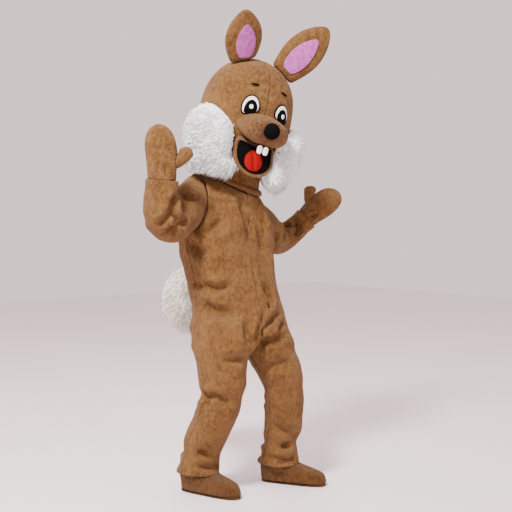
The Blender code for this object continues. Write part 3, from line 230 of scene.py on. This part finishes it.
# Front creases are strokes drawn over an enlarged crop of the photograph.
CROP_CORNER = (140.0, 160.0)
CROP_STEP = 0.17
PHOTO_SIZE = 512
FRONT_STROKES = (
    # garment, half width, depth, points across and down the enlarged crop
    ("body_front", 0.020, 0.010, ((600, 225), (612, 290), (640, 380), (655, 500))),
    ("body_front", 0.016, 0.008, ((640, 255), (675, 330), (700, 430), (715, 520))),
    ("body_front", 0.018, 0.010, ((655, 240), (700, 300), (735, 380), (745, 450))),
    ("body_front", 0.024, 0.010, ((370, 425), (440, 400), (480, 350))),
    ("body_front", 0.022, 0.009, ((290, 470), (330, 530), (400, 560))),
    ("body_front", 0.020, 0.013, ((370, 735), (440, 765), (530, 745))),
    ("body_front", 0.014, 0.008, ((325, 715), (358, 770))),
    ("body_front", 0.026, 0.011, ((380, 845), (420, 890), (490, 905), (570, 900))),
    ("body_front", 0.018, 0.010, ((735, 740), (768, 810), (772, 880))),
    ("body_front", 0.020, 0.011, ((650, 1095), (638, 1020), (628, 950))),
    ("body_front", 0.016, 0.009, ((672, 1080), (695, 1000), (740, 905))),
    ("body_front", 0.020, 0.014, ((690, 1085), (760, 1062), (850, 1035))),
    ("body_front", 0.018, 0.010, ((705, 1045), (765, 965), (815, 895))),
    ("body_front", 0.014, 0.007, ((800, 1035), (830, 975), (850, 955))),
    ("body", 0.018, 0.014, ((365, 1372), (400, 1392), (445, 1385))),
    ("body", 0.020, 0.012, ((385, 1420), (402, 1462))),
    ("body_front", 0.020, 0.009, ((450, 1385), (480, 1410), (515, 1445))),
    ("body_front", 0.018, 0.013, ((335, 1718), (400, 1732))),
    ("body_front", 0.016, 0.008, ((340, 1800), (400, 1815), (460, 1800))),
    ("body_front", 0.018, 0.013, ((830, 1688), (880, 1667))),
    ("body_front", 0.026, 0.009, ((765, 1560), (840, 1600), (930, 1625))),
    ("body_front", 0.016, 0.008, ((760, 1755), (830, 1770), (900, 1760))),
    ("body_front", 0.024, 0.008, ((480, 1190), (560, 1180), (620, 1150))),
    ("body_front", 0.024, 0.008, ((740, 1240), (820, 1200), (900, 1190))),
    ("sleeve_right", 0.016, 0.013, ((222, 190), (200, 250), (188, 310))),
    ("sleeve_right", 0.016, 0.010, ((250, 190), (275, 218), (310, 218))),
    ("sleeve_right", 0.014, 0.010, ((195, 305), (218, 352), (262, 332))),
    ("sleeve_right", 0.014, 0.010, ((110, 385), (165, 335), (188, 290))),
    ("sleeve_right", 0.014, 0.011, ((180, 425), (240, 382), (285, 350))),
    ("sleeve_right", 0.012, 0.007, ((130, 440), (190, 400), (230, 360))),
    ("sleeve_left", 0.014, 0.011, ((862, 365), (852, 420), (842, 470))),
    ("sleeve_left", 0.014, 0.010, ((805, 420), (792, 490), (785, 535))),
    ("sleeve_left", 0.014, 0.009, ((900, 350), (930, 400), (915, 450))),
    ("sleeve_left", 0.012, 0.008, ((840, 380), (890, 385), (930, 370))),
    ("mitt_right", 0.010, 0.006, ((105, 10), (118, 90))),
    ("mitt_right", 0.010, 0.006, ((150, 20), (160, 100))),
    ("mitt_left", 0.010, 0.006, ((1000, 330), (1040, 320))),
)
# Back creases are guessed, and placed as seen straight from behind.
NECK_ASIDE = -0.012
NECK_HEIGHT = 1.392
BEHIND = 2.0
BACK_STROKES = (
    # garment, half width, depth, points aside and above the floor
    ("body_back", 0.026, 0.013, ((-0.16, 1.00), (-0.06, 0.985), (0.02, 0.99))),
    ("body_back", 0.024, 0.011, ((0.17, 0.985), (0.08, 0.965), (0.0, 0.975))),
    ("body_back", 0.028, 0.011, ((-0.19, 1.12), (-0.12, 1.18), (-0.05, 1.28))),
    ("body_back", 0.028, 0.011, ((0.18, 1.08), (0.11, 1.16), (0.05, 1.26))),
    ("body_back", 0.022, 0.009, ((-0.03, 1.33), (-0.05, 1.20), (-0.04, 1.08))),
    ("body_back", 0.024, 0.013, ((-0.20, 0.70), (-0.12, 0.665), (-0.03, 0.67))),
    ("body_back", 0.024, 0.013, ((0.21, 0.69), (0.12, 0.655), (0.04, 0.66))),
    ("body_back", 0.020, 0.010, ((-0.19, 0.625), (-0.12, 0.60), (-0.05, 0.61))),
    ("body_back", 0.020, 0.010, ((0.21, 0.61), (0.14, 0.59), (0.08, 0.60))),
    ("body_back", 0.018, 0.013, ((-0.19, 0.455), (-0.12, 0.44), (-0.05, 0.45))),
    ("body_back", 0.018, 0.010, ((-0.18, 0.415), (-0.11, 0.40), (-0.06, 0.41))),
    ("body_back", 0.018, 0.013, ((0.27, 0.455), (0.20, 0.44), (0.13, 0.45))),
    ("body_back", 0.018, 0.010, ((0.27, 0.41), (0.20, 0.40), (0.14, 0.405))),
    ("body_back", 0.018, 0.012, ((-0.21, 0.205), (-0.15, 0.19), (-0.08, 0.20))),
    ("body_back", 0.016, 0.009, ((-0.21, 0.135), (-0.15, 0.125), (-0.08, 0.135))),
    ("body_back", 0.018, 0.012, ((0.30, 0.20), (0.24, 0.185), (0.18, 0.195))),
    ("body_back", 0.016, 0.009, ((0.30, 0.135), (0.24, 0.125), (0.17, 0.13))),
    ("sleeve_right", 0.016, 0.010, ((-0.30, 1.33), (-0.30, 1.24), (-0.31, 1.19))),
    ("sleeve_right", 0.014, 0.009, ((-0.36, 1.28), (-0.35, 1.22), (-0.37, 1.15))),
    ("sleeve_right", 0.014, 0.010, ((-0.42, 1.25), (-0.46, 1.22), (-0.50, 1.24))),
    ("sleeve_left", 0.014, 0.010, ((0.26, 1.22), (0.27, 1.15), (0.28, 1.09))),
    ("sleeve_left", 0.014, 0.010, ((0.35, 1.17), (0.36, 1.12), (0.37, 1.06))),
    ("sleeve_left", 0.014, 0.008, ((0.43, 1.18), (0.44, 1.14), (0.46, 1.10))),
)


def mesh_tree(mesh):
    """A mesh's faces, ready for rays."""
    return BVHTree.FromPolygons([vertex.co for vertex in mesh.vertices],
                                [list(face.vertices) for face in mesh.polygons])


garment_trees = {}
for name, solid in nodes.items():
    if name.startswith(("body", "sleeve", "mitt")):
        garment_trees[name] = mesh_tree(solid.data)


def first_touch(garment, origin, way):
    """Where a ray first meets a garment's solids, to the millimetre."""
    touches = [tree.ray_cast(origin, way) for name, tree in garment_trees.items() if name.startswith(garment)]
    nearest = min((touch for touch in touches if touch[0] is not None), key=lambda touch: touch[3])
    return tuple(round(value, 3) for value in nearest[0])


def seen_by_camera(garment, across_crop, down_crop):
    """The point of a garment that a place on the enlarged crop shows."""
    view = (CAMERA_AIM - CAMERA_PLACE).normalized()
    right = view.cross(Vector((0.0, 0.0, 1.0))).normalized()
    above = right.cross(view)
    focal = PHOTO_SIZE * CAMERA_LENS / CAMERA_SENSOR
    aside_share = (CROP_CORNER[0] + across_crop * CROP_STEP - PHOTO_SIZE / 2.0) / focal
    above_share = (PHOTO_SIZE / 2.0 - CROP_CORNER[1] - down_crop * CROP_STEP) / focal
    return first_touch(garment, CAMERA_PLACE, (view + right * aside_share + above * above_share).normalized())


def seen_from_behind(garment, aside, height):
    """The point of a garment that lies straight ahead of a place behind the wearer."""
    origin = Vector((aside - NECK_ASIDE, BEHIND, height - NECK_HEIGHT))
    return first_touch(garment, origin, Vector((0.0, -1.0, 0.0)))


creases = []
for strokes, spot_of in ((FRONT_STROKES, seen_by_camera), (BACK_STROKES, seen_from_behind)):
    for garment, width, depth, line in strokes:
        creases.append((garment, width, depth, [spot_of(garment, *point) for point in line]))


def wall_side(bm, start, rim, taken):
    """The faces joined to a face without crossing the narrow rim round a wall."""
    found, waiting = [start], [start]
    taken.add(start)
    while waiting:
        face = waiting.pop()
        for edge in face.edges:
            for other in edge.link_faces:
                if other not in taken and other not in rim and edge.calc_face_angle(0.0) < RIM_ANGLE:
                    taken.add(other)
                    found.append(other)
                    waiting.append(other)
    return found


def square_up(bm):
    """Joins pairs of triangles into four-sided faces."""
    bmesh.ops.join_triangles(bm, faces=bm.faces, angle_face_threshold=SQUARE_BEND,
                             angle_shape_threshold=SQUARE_SHAPE)


def outer_cloth(node, rim_depth=RIM_DEPTH):
    """The outer side of a solid's wall, as one sheet of four-sided faces."""
    bm = bmesh.new()
    bm.from_mesh(nodes[node].data)
    bmesh.ops.remove_doubles(bm, verts=bm.verts, dist=MERGE_DISTANCE)
    tree = BVHTree.FromBMesh(bm)
    rim = set()
    for face in bm.faces:
        through = tree.ray_cast(face.calc_center_median() - face.normal * MERGE_DISTANCE, -face.normal)[3]
        if through is None or through > rim_depth:
            rim.add(face)
    taken, sheets = set(), []
    for face in bm.faces:
        if face not in taken and face not in rim:
            sheets.append(wall_side(bm, face, rim, taken))
    outer = set(max(sheets, key=lambda faces: sum(face.calc_area() for face in faces)))
    for _ in range(REFILL_PASSES):
        for face in bm.faces:
            joined = [edge for edge in face.edges if edge.calc_face_angle(math.pi) < RIM_ANGLE
                      and any(other in outer for other in edge.link_faces)]
            if face not in outer and len(joined) > 1:
                outer.add(face)
    bmesh.ops.delete(bm, geom=[face for face in bm.faces if face not in outer], context="FACES")
    square_up(bm)
    return bm


def settle(name, bm, levels):
    """Makes an object from a bmesh and smooths it with applied subdivisions."""
    mesh = bpy.data.meshes.new(name)
    bm.to_mesh(mesh)
    bm.free()
    piece = stand(name, mesh)
    smoother = piece.modifiers.new("smoother", "SUBSURF")
    smoother.levels = smoother.render_levels = levels
    smoother.boundary_smooth = "PRESERVE_CORNERS"
    graph = bpy.context.evaluated_depsgraph_get()
    piece.data = bpy.data.meshes.new_from_object(piece.evaluated_get(graph))
    piece.modifiers.clear()
    piece.data.name = name
    piece.data.shade_smooth()
    return piece


def cut_cloth(node, rim_depth=RIM_DEPTH):
    """A solid's outer side as a smoothed sheet, ready to drape."""
    return settle(node + "_cloth", outer_cloth(node, rim_depth), CLOTH_LEVELS)


def crease_push(points, garment):
    """How far the creases of a garment push each point in; each fades out towards its ends."""
    push = np.zeros(len(points))
    for name, width, depth, line in creases:
        if not name.startswith(garment):
            continue
        nearest = np.full(len(points), FAR_AWAY)
        share = np.zeros(len(points))
        parts = len(line) - 1
        for part in range(parts):
            a, b = np.array(line[part]), np.array(line[part + 1])
            along = np.clip((points - a) @ (b - a) / max(1e-9, (b - a) @ (b - a)), 0.0, 1.0)
            away = np.linalg.norm(points - a - along[:, None] * (b - a), axis=1)
            closer = away < nearest
            nearest = np.where(closer, away, nearest)
            share = np.where(closer, (part + along) / parts, share)
        arch = np.sin(math.pi * np.clip(share, 0.0, 1.0)).clip(0.0)
        fade = FAINTEST_END + (1.0 - FAINTEST_END) * np.sqrt(arch)
        push += fade * depth * CREASE_GAIN * np.exp(-(nearest / width) ** 2)
        push -= fade * depth * RIDGE_GAIN * np.exp(-((nearest - RIDGE_PLACE * width) / width) ** 2)
    return np.clip(push, -RIDGE_LIMIT, CREASE_LIMIT)


def near(points, spots):
    """How far each point is from the nearest of some spots."""
    tree = KDTree(len(spots))
    for index, spot in enumerate(spots):
        tree.insert(spot, index)
    tree.balance()
    return np.array([tree.find(Vector(point))[2] for point in points])


def lumps(point):
    """Soft unevenness: broad swells with finer ones on them."""
    return noise.noise(point * BROAD_LUMPS) + FINE_SHARE * noise.noise(point * FINE_LUMPS)


def drape(piece, unevenness=0.003, wall=PLUSH_WALL, over=None):
    """Moves a sheet's points into creases, soft unevenness, sunken seams and hems, and gives it its wall."""
    mesh = piece.data
    points = np.zeros(len(mesh.vertices) * 3)
    mesh.vertices.foreach_get("co", points)
    points = points.reshape(-1, 3)
    normals = np.zeros(len(points) * 3)
    mesh.vertex_normals.foreach_get("vector", normals)
    normals = normals.reshape(-1, 3)
    push = crease_push(points, piece.name.split("_")[0])
    push -= unevenness * np.array([lumps(Vector(point)) for point in points])
    bm = bmesh.new()
    bm.from_mesh(mesh)
    rim = [vertex.co.copy() for vertex in bm.verts if vertex.is_boundary]
    if over:
        covered = near(rim, [vertex.co for vertex in nodes[over].data.vertices]) < HEM_COVER
        hem = [spot for spot, under in zip(rim, covered) if under]
        rim = [spot for spot, under in zip(rim, covered) if not under]
        pucker = np.array([1.0 + PUCKER_SHARE * noise.noise(Vector(point) * PUCKER_RATE) for point in points])
        push -= HEM_LIFT * pucker * np.clip(1.0 - near(points, hem) / HEM_REACH, 0.0, 1.0) ** HEM_FALL
    if rim:
        push += SEAM_SINK * np.clip(1.0 - near(points, rim) / SEAM_REACH, 0.0, 1.0) ** 2
    moved = points - normals * push[:, None]
    for vertex, spot in zip(bm.verts, moved):
        vertex.co = spot
    inner = [vertex for vertex in bm.verts if not vertex.is_boundary]
    for _ in range(SMOOTHING_PASSES):
        bmesh.ops.smooth_vert(bm, verts=inner, factor=0.5, use_axis_x=True, use_axis_y=True, use_axis_z=True)
    bm.to_mesh(mesh)
    bm.free()
    if wall:
        thickness = piece.modifiers.new("wall", "SOLIDIFY")
        thickness.thickness = wall
        thickness.offset = -1.0
        thickness.use_rim = True
    return piece


BROAD_SCALE = 11.0
PATCH_SCALE = 60.0
STRAND_SCALE = 340.0


def plush_finish(name, light, shaded_tone, pink, nap=0.0026):
    """Short plush: a nap lying downwards, with painted light and shade in patches where the nap lies
    different ways.
    """
    finish = Finish(name, Roughness=0.95, Sheen_Weight=0.14, Sheen_Roughness=0.50,
                    Sheen_Tint=(1.0, 0.70, 0.45, 1.0), Specular_IOR_Level=0.15)
    broad = finish.spread(finish.noise(BROAD_SCALE, 3.0), 0.38, 0.66)
    patches = finish.spread(finish.noise(PATCH_SCALE, 4.0, (1.0, 1.0, 0.70), 0.64), 0.32, 0.68)
    strands = finish.spread(finish.noise(STRAND_SCALE, 3.0, (1.0, 1.0, 0.50), 0.65), 0.22, 0.78)
    # Painted light and shade: patches of nap mix from the darker colour to the lighter one.
    nap_light_and_shade = finish.mix(patches * 0.50 + strands * 0.50, shaded_tone, light)
    finish.link("Base Color", finish.mix(broad * 0.35, nap_light_and_shade, pink))
    finish.bump(strands * 0.8 + patches * 1.6, nap)
    return finish.material


camel_plush = plush_finish("camel plush", (0.212, 0.100, 0.029), (0.052, 0.019, 0.003), (0.206, 0.106, 0.036))


def dress(piece, material, node):
    """Gives a piece its material and puts it in its solid's place."""
    piece.data.materials.clear()
    piece.data.materials.append(material)
    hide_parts(node)
    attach(piece, "root")
    return piece


PANEL_CUTS = (
    # panel, widest run across, length from hem to neckline, area of what shows
    ("body_front_right", 0.383, 1.442, 0.4106),
    ("body_front_left", 0.390, 1.330, 0.3826),
    ("body_back_right", 0.366, 1.481, 0.4282),
    ("body_back_left", 0.368, 1.489, 0.4052),
)
for node, width, length, area in PANEL_CUTS:
    panel = drape(cut_cloth(node), over="foot_" + node.split("_")[2])
    dress(panel, camel_plush, node)

# Sleeves and collar
# Each sleeve is one piece of the same plush, crumpled inside the bent elbow, and hemmed over the mitt.
# The collar is a narrow rolled band.
SLEEVE_CUTS = (
    # side, widest run round, length from cuff to armhole, area of what shows
    ("right", 0.854, 0.504, 0.2484),
    ("left", 0.658, 0.457, 0.1933),
)
for side, width, length, area in SLEEVE_CUTS:
    sleeve = drape(cut_cloth("sleeve_" + side), unevenness=0.004, over="mitt_" + side)
    dress(sleeve, camel_plush, "sleeve_" + side)


def whole(name, node, levels, unevenness=0.0):
    """A smoothed copy of a closed solid."""
    bm = bmesh.new()
    bm.from_mesh(nodes[node].data)
    bmesh.ops.remove_doubles(bm, verts=bm.verts, dist=MERGE_DISTANCE)
    square_up(bm)
    piece = settle(name, bm, levels)
    if unevenness:
        drape(piece, unevenness, wall=0.0)
    return piece


collar = whole("collar_band", "collar", 2, 0.0015)
dress(collar, camel_plush, "collar")

# Mitts
# Bag mittens of the camel plush, lightly creased, with the thumb sewn on at the side.
HAND_CUTS = (
    # piece, widest run round, length from its open edge to its tip, area of what shows
    ("mitt_right", 0.374, 0.253, 0.0804),
    ("mitt_left", 0.367, 0.230, 0.0700),
    ("thumb_right", 0.228, 0.083, 0.0141),
    ("thumb_left", 0.229, 0.074, 0.0120),
)
HAND_UNEVENNESS = {"mitt": 0.004, "thumb": 0.002}
for node, width, length, area in HAND_CUTS:
    bag = drape(cut_cloth(node), unevenness=HAND_UNEVENNESS[node.split("_")[0]])
    dress(bag, camel_plush, node)

# Feet
# Slipper uppers of plush on a stiff sole of the same plush, both coloured a darker brown as painted shade.
# Painted shade: the feet are coloured a darker brown than the coverall.
shaded_brown_plush = plush_finish("brown plush", (0.120, 0.050, 0.012), (0.026, 0.009, 0.002), (0.110, 0.046, 0.014))
for side in ("right", "left"):
    foot = drape(cut_cloth("foot_" + side), unevenness=0.003)
    dress(foot, shaded_brown_plush, "foot_" + side)
    sole = whole("sole_" + side + "_felt", "sole_" + side, 1)
    dress(sole, shaded_brown_plush, "sole_" + side)

# Head
# Two plush halves over foam, seamed down the middle of the face, with a padded snout and a padded
# lower lip. A skirt of the same plush reaches from the chin into the collar.
HEAD_CUTS = (
    # half, widest run across, length over the crown, area of what shows
    ("head_right", 0.723, 0.708, 0.2887),
    ("head_left", 0.707, 0.656, 0.2887),
)
FOREHEAD_FOLDS = (
    # height above the snout's middle, half length either side of the seam, depth
    (0.232, 0.070, 0.0050), (0.196, 0.085, 0.0056), (0.158, 0.060, 0.0050),
)
FOREHEAD_WIDTH = 0.009
FOREHEAD_SAG = 0.010
FOLD_POINTS = 9
snout_middle = (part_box("muzzle")[0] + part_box("muzzle")[1]) / 2.0
nose_middle = (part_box("nose")[0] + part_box("nose")[1]) / 2.0
ahead = (nose_middle - snout_middle).normalized()
across = Vector((0.0, 0.0, 1.0)).cross(-ahead).normalized()
upward = across.cross(-ahead) if across.cross(-ahead).z > 0.0 else across.cross(ahead)


def in_front(tree, aside, above):
    """The foremost point at a place measured from the snout's middle, or None."""
    return tree.ray_cast(snout_middle + across * aside + upward * above + ahead, -ahead)[0]


head_trees = [mesh_tree(nodes[node].data) for node in ("head_right", "head_left")]
for above, half, depth in FOREHEAD_FOLDS:
    fold = []
    for step in range(FOLD_POINTS):
        aside = half * (2.0 * step / (FOLD_POINTS - 1) - 1.0)
        sag = FOREHEAD_SAG * math.cos(aside / half * math.pi)
        spots = [in_front(tree, aside, above + sag) for tree in head_trees]
        spot = spots[0] or spots[1]
        if spot:
            fold.append(tuple(spot))
    creases.append(("head", FOREHEAD_WIDTH, depth / CREASE_GAIN, fold))
HEAD_RIM_DEPTH = 0.022
for node, width, length, area in HEAD_CUTS:
    half = drape(cut_cloth(node, HEAD_RIM_DEPTH), unevenness=0.0025)
    dress(half, camel_plush, node)
skirt = drape(cut_cloth("neck_skirt"), unevenness=0.003)
dress(skirt, camel_plush, "neck_skirt")
snout_plush = plush_finish("snout plush", (0.170, 0.082, 0.031), (0.072, 0.029, 0.009),
                           (0.158, 0.070, 0.032), nap=0.0018)
for node in ("jaw", "muzzle"):
    pad = whole(node + "_padding", node, 2, 0.0012)
    dress(pad, snout_plush, node)
    if node == "muzzle":
        snout_tree = mesh_tree(pad.data)
WHISKER_RADIUS = 0.0038
WHISKER_DOTS = (
    # across the lobe from the middle of the snout, height above its middle
    (0.046, 0.026), (0.066, 0.033), (0.086, 0.022), (0.056, 0.006),
    (0.078, 0.004), (0.097, 0.001), (0.066, -0.015), (0.087, -0.018),
)
dots = bmesh.new()
for aside, above in WHISKER_DOTS:
    for hand in (-1.0, 1.0):
        spot = in_front(snout_tree, aside * hand, above)
        if spot:
            bmesh.ops.create_icosphere(dots, subdivisions=1, radius=WHISKER_RADIUS,
                                       matrix=Matrix.Translation(spot))
dots_data = bpy.data.meshes.new("whisker_dots")
dots.to_mesh(dots_data)
dots.free()
whisker_dots = stand("whisker_dots", dots_data)
whisker_black = Finish("whisker black", Base_Color=(0.012, 0.009, 0.008, 1.0), Roughness=0.7)
dots_data.materials.append(whisker_black.material)
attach(whisker_dots, "root")

# Ears
# Each ear is a padded plush leaf with a mauve plush front sewn inside its edge.
mauve_plush = plush_finish("mauve plush", (0.480, 0.115, 0.420), (0.220, 0.045, 0.180),
                           (0.380, 0.095, 0.300), nap=0.0006)
for side in ("right", "left"):
    ear = whole("ear_" + side + "_padding", "ear_" + side, 2, 0.002)
    dress(ear, camel_plush, "ear_" + side)
    lining = whole("ear_lining_" + side + "_cloth", "ear_lining_" + side, 2)
    dress(lining, mauve_plush, "ear_lining_" + side)

# Eyes, brows and nose
# The eyes are cut from vinyl sheet in layers, the brows are black felt and the nose is a flocked ball.
white_vinyl = Finish("white vinyl", Base_Color=(0.82, 0.82, 0.80, 1.0), Roughness=0.38, Coat_Weight=0.15)
black_vinyl = Finish("black vinyl", Base_Color=(0.001, 0.001, 0.001, 1.0), Roughness=0.6,
                     Specular_IOR_Level=0.05)
black_felt = Finish("black felt", Base_Color=(0.002, 0.002, 0.002, 1.0), Roughness=0.95,
                    Specular_IOR_Level=0.05)
black_felt.bump(black_felt.noise(600.0, 2.0), 0.0006)
LAYER_GROWTH = {"eye_rim": 1.07, "pupil": 1.20}


def middle_of(piece):
    return sum((vertex.co for vertex in piece.data.vertices), Vector()) / len(piece.data.vertices)


def widen(piece, growth):
    """Widens a flat piece about its middle, keeping its thickness along the face."""
    middle = middle_of(piece)
    for vertex in piece.data.vertices:
        offset = vertex.co - middle
        depth = ahead * offset.dot(ahead)
        vertex.co = middle + depth + (offset - depth) * growth


for side in ("right", "left"):
    for layer, finish in (("eye_rim", black_vinyl), ("eye_white", white_vinyl), ("pupil", black_vinyl),
                          ("glint", white_vinyl), ("brow", black_felt)):
        node = layer + "_" + side
        cut = whole(node + "_cut", node, 1)
        widen(cut, LAYER_GROWTH.get(layer, 1.0))
        dress(cut, finish.material, node)
nose = whole("nose_ball", "nose", 2, 0.0008)
dress(nose, black_felt.material, "nose")

# Mouth
# Black cloth lines the open mouth, with a padded tongue of red felt and two white foam teeth.
TONGUE_GROWTH = Vector((1.25, 1.0, 1.30))
GROOVE_WIDTH = 0.007
GROOVE_DEPTH = 0.0049
red_felt = Finish("red felt", Base_Color=(0.22, 0.001, 0.002, 1.0), Roughness=0.9, Specular_IOR_Level=0.1)
red_felt.bump(red_felt.noise(500.0, 3.0), 0.0008)
tooth_foam = Finish("tooth foam", Base_Color=(0.86, 0.84, 0.80, 1.0), Roughness=0.5)
mouth = whole("mouth_cloth", "mouth", 1)
dress(mouth, black_felt.material, "mouth")
tongue = whole("tongue_felt", "tongue", 2)
tongue_middle = middle_of(tongue)
for vertex in tongue.data.vertices:
    offset = vertex.co - tongue_middle
    groove = math.exp(-(offset.dot(across) / GROOVE_WIDTH) ** 2)
    vertex.co = tongue_middle + offset * TONGUE_GROWTH - ahead * GROOVE_DEPTH * groove
dress(tongue, red_felt.material, "tongue")
for side in ("right", "left"):
    tooth = whole("tooth_%s_foam" % side, "tooth_" + side, 2)
    dress(tooth, tooth_foam.material, "tooth_" + side)

# Fur
# Long white fur ruffs cover the cheeks and long cream fur the tail. The locks are tapered tufts
# rooted on a padded core, combed outwards and down, and longer towards the bottom.
TUFT_RINGS = (
    # share of the length, share of the radius
    (0.0, 1.0),
    (0.55, 0.70),
)
TUFT_SIDES = 3
TUFT_RADIUS = 0.0021
TUFT_BEND = 1.5
TIP_STRAIGHTNESS = 0.2
ROOT_DEPTH = 0.003
THINNEST = 0.7
THICKEST = 1.2
SHORTEST = 0.65
SPREAD_OF_LENGTHS = 0.5
DROOP_GAIN = 0.5
CLUMP_MEAN = 0.75
CLUMP_SPREAD = 0.5
CLUMP_RATE = 30.0
CLUMP_SHIFT = Vector((9.0, 0.0, 0.0))
STRAY = 0.16


def tuft(bm, root, away, comb, length, radius):
    """One lock: a three-sided cone that curves from straight out towards its comb."""
    rings = []
    side = away.orthogonal().normalized()
    for share, thick in TUFT_RINGS:
        way = (away * (1.0 - share) + comb * share * TUFT_BEND).normalized()
        spot = root + way * length * share
        across = (side - way * side.dot(way)).normalized()
        other = way.cross(across)
        rings.append([bm.verts.new(spot + (across * math.cos(turn) + other * math.sin(turn)) * radius * thick)
                      for turn in (index * math.tau / TUFT_SIDES for index in range(TUFT_SIDES))])
    tip_way = (away * TIP_STRAIGHTNESS + comb * TUFT_BEND).normalized()
    tip = bm.verts.new(root + tip_way * length)
    for low, high in zip(rings, rings[1:]):
        for index in range(TUFT_SIDES):
            following = (index + 1) % TUFT_SIDES
            bm.faces.new((low[index], low[following], high[following], high[index]))
    for index in range(TUFT_SIDES):
        bm.faces.new((rings[-1][index], rings[-1][(index + 1) % TUFT_SIDES], tip))
    bm.faces.new(list(reversed(rings[0])))


def fur_spots(mesh, count, chance):
    """Evenly scattered points on a triangle mesh, with the face normal at each."""
    mesh.calc_loop_triangles()
    areas = np.array([triangle.area for triangle in mesh.loop_triangles])
    picks = chance.choices(range(len(areas)), weights=areas.tolist(), k=count)
    for pick in picks:
        triangle = mesh.loop_triangles[pick]
        a, b, c = (mesh.vertices[index].co for index in triangle.vertices)
        first, second = chance.random(), chance.random()
        if first + second > 1.0:
            first, second = 1.0 - first, 1.0 - second
        yield a + (b - a) * first + (c - a) * second, triangle.normal.copy()


def fur(node, count, length, comb_of, seed):
    """A padded core with tufts rooted all over it."""
    chance = random.Random(seed)
    core = whole(node + "_fur", node, 1)
    spots = list(fur_spots(core.data, count, chance))
    lowest = min(root.z for root, _ in spots)
    middle = (lowest + max(root.z for root, _ in spots)) / 2.0
    bm = bmesh.new()
    bm.from_mesh(core.data)
    for root, away in spots:
        comb = comb_of(root, away)
        droop = max(0.0, (middle - root.z) / (middle - lowest))
        reach = length * (1.0 + DROOP_GAIN * droop) * (SHORTEST + SPREAD_OF_LENGTHS * chance.random())
        reach *= CLUMP_MEAN + CLUMP_SPREAD * noise.noise(root * CLUMP_RATE + CLUMP_SHIFT)
        stray = Vector((chance.uniform(-1, 1), chance.uniform(-1, 1), chance.uniform(-1, 1))) * STRAY
        radius = TUFT_RADIUS * chance.uniform(THINNEST, THICKEST)
        tuft(bm, root - away * ROOT_DEPTH, away, (comb + stray).normalized(), reach, radius)
    bm.normal_update()
    bm.to_mesh(core.data)
    bm.free()
    core.data.shade_smooth()
    return core


def fur_finish(name, light, shaded_tone):
    """Long fur, with painted shade between its clumps."""
    finish = Finish(name, Roughness=0.75, Sheen_Weight=0.25, Specular_IOR_Level=0.25)
    # Painted shade: the fur is coloured darker between its clumps.
    shade_between_clumps = finish.spread(finish.noise(60.0, 4.0), 0.3, 0.66)
    finish.link("Base Color", finish.mix(shade_between_clumps, shaded_tone, light))
    finish.bump(finish.noise(700.0, 2.0), 0.0006)
    return finish.material


white_fur = fur_finish("white fur", (0.97, 0.98, 0.98), (0.84, 0.87, 0.88))
cream_fur = fur_finish("cream fur", (0.97, 0.95, 0.86), (0.82, 0.78, 0.66))


CHEEK_SWEEP = 0.8
CHEEK_FALL = Vector((0.0, 0.0, -0.55))
CHEEK_LIFT = 0.12
TAIL_FALL = Vector((0.0, 0.15, -0.7))
TAIL_LIFT = 0.75
CHEEK_SEEDS = {"right": 11, "left": 23}
TAIL_SEED = 37


def cheek_comb(root, away):
    """The ruffs are combed from the snout outwards and down the cheek."""
    way = root - snout_middle
    way = way - away * way.dot(away)
    return (way.normalized() * CHEEK_SWEEP + CHEEK_FALL + away * CHEEK_LIFT).normalized()


def tail_comb(root, away):
    """The tail's fur stands out and hangs a little. It is the same wherever the root lies."""
    return (away * TAIL_LIFT + TAIL_FALL).normalized()


for side, seed in CHEEK_SEEDS.items():
    cheek = fur("cheek_" + side, 7500, 0.038, cheek_comb, seed)
    dress(cheek, white_fur, "cheek_" + side)
tail = fur("tail", 8000, 0.034, tail_comb, TAIL_SEED)
dress(tail, cream_fur, "tail")
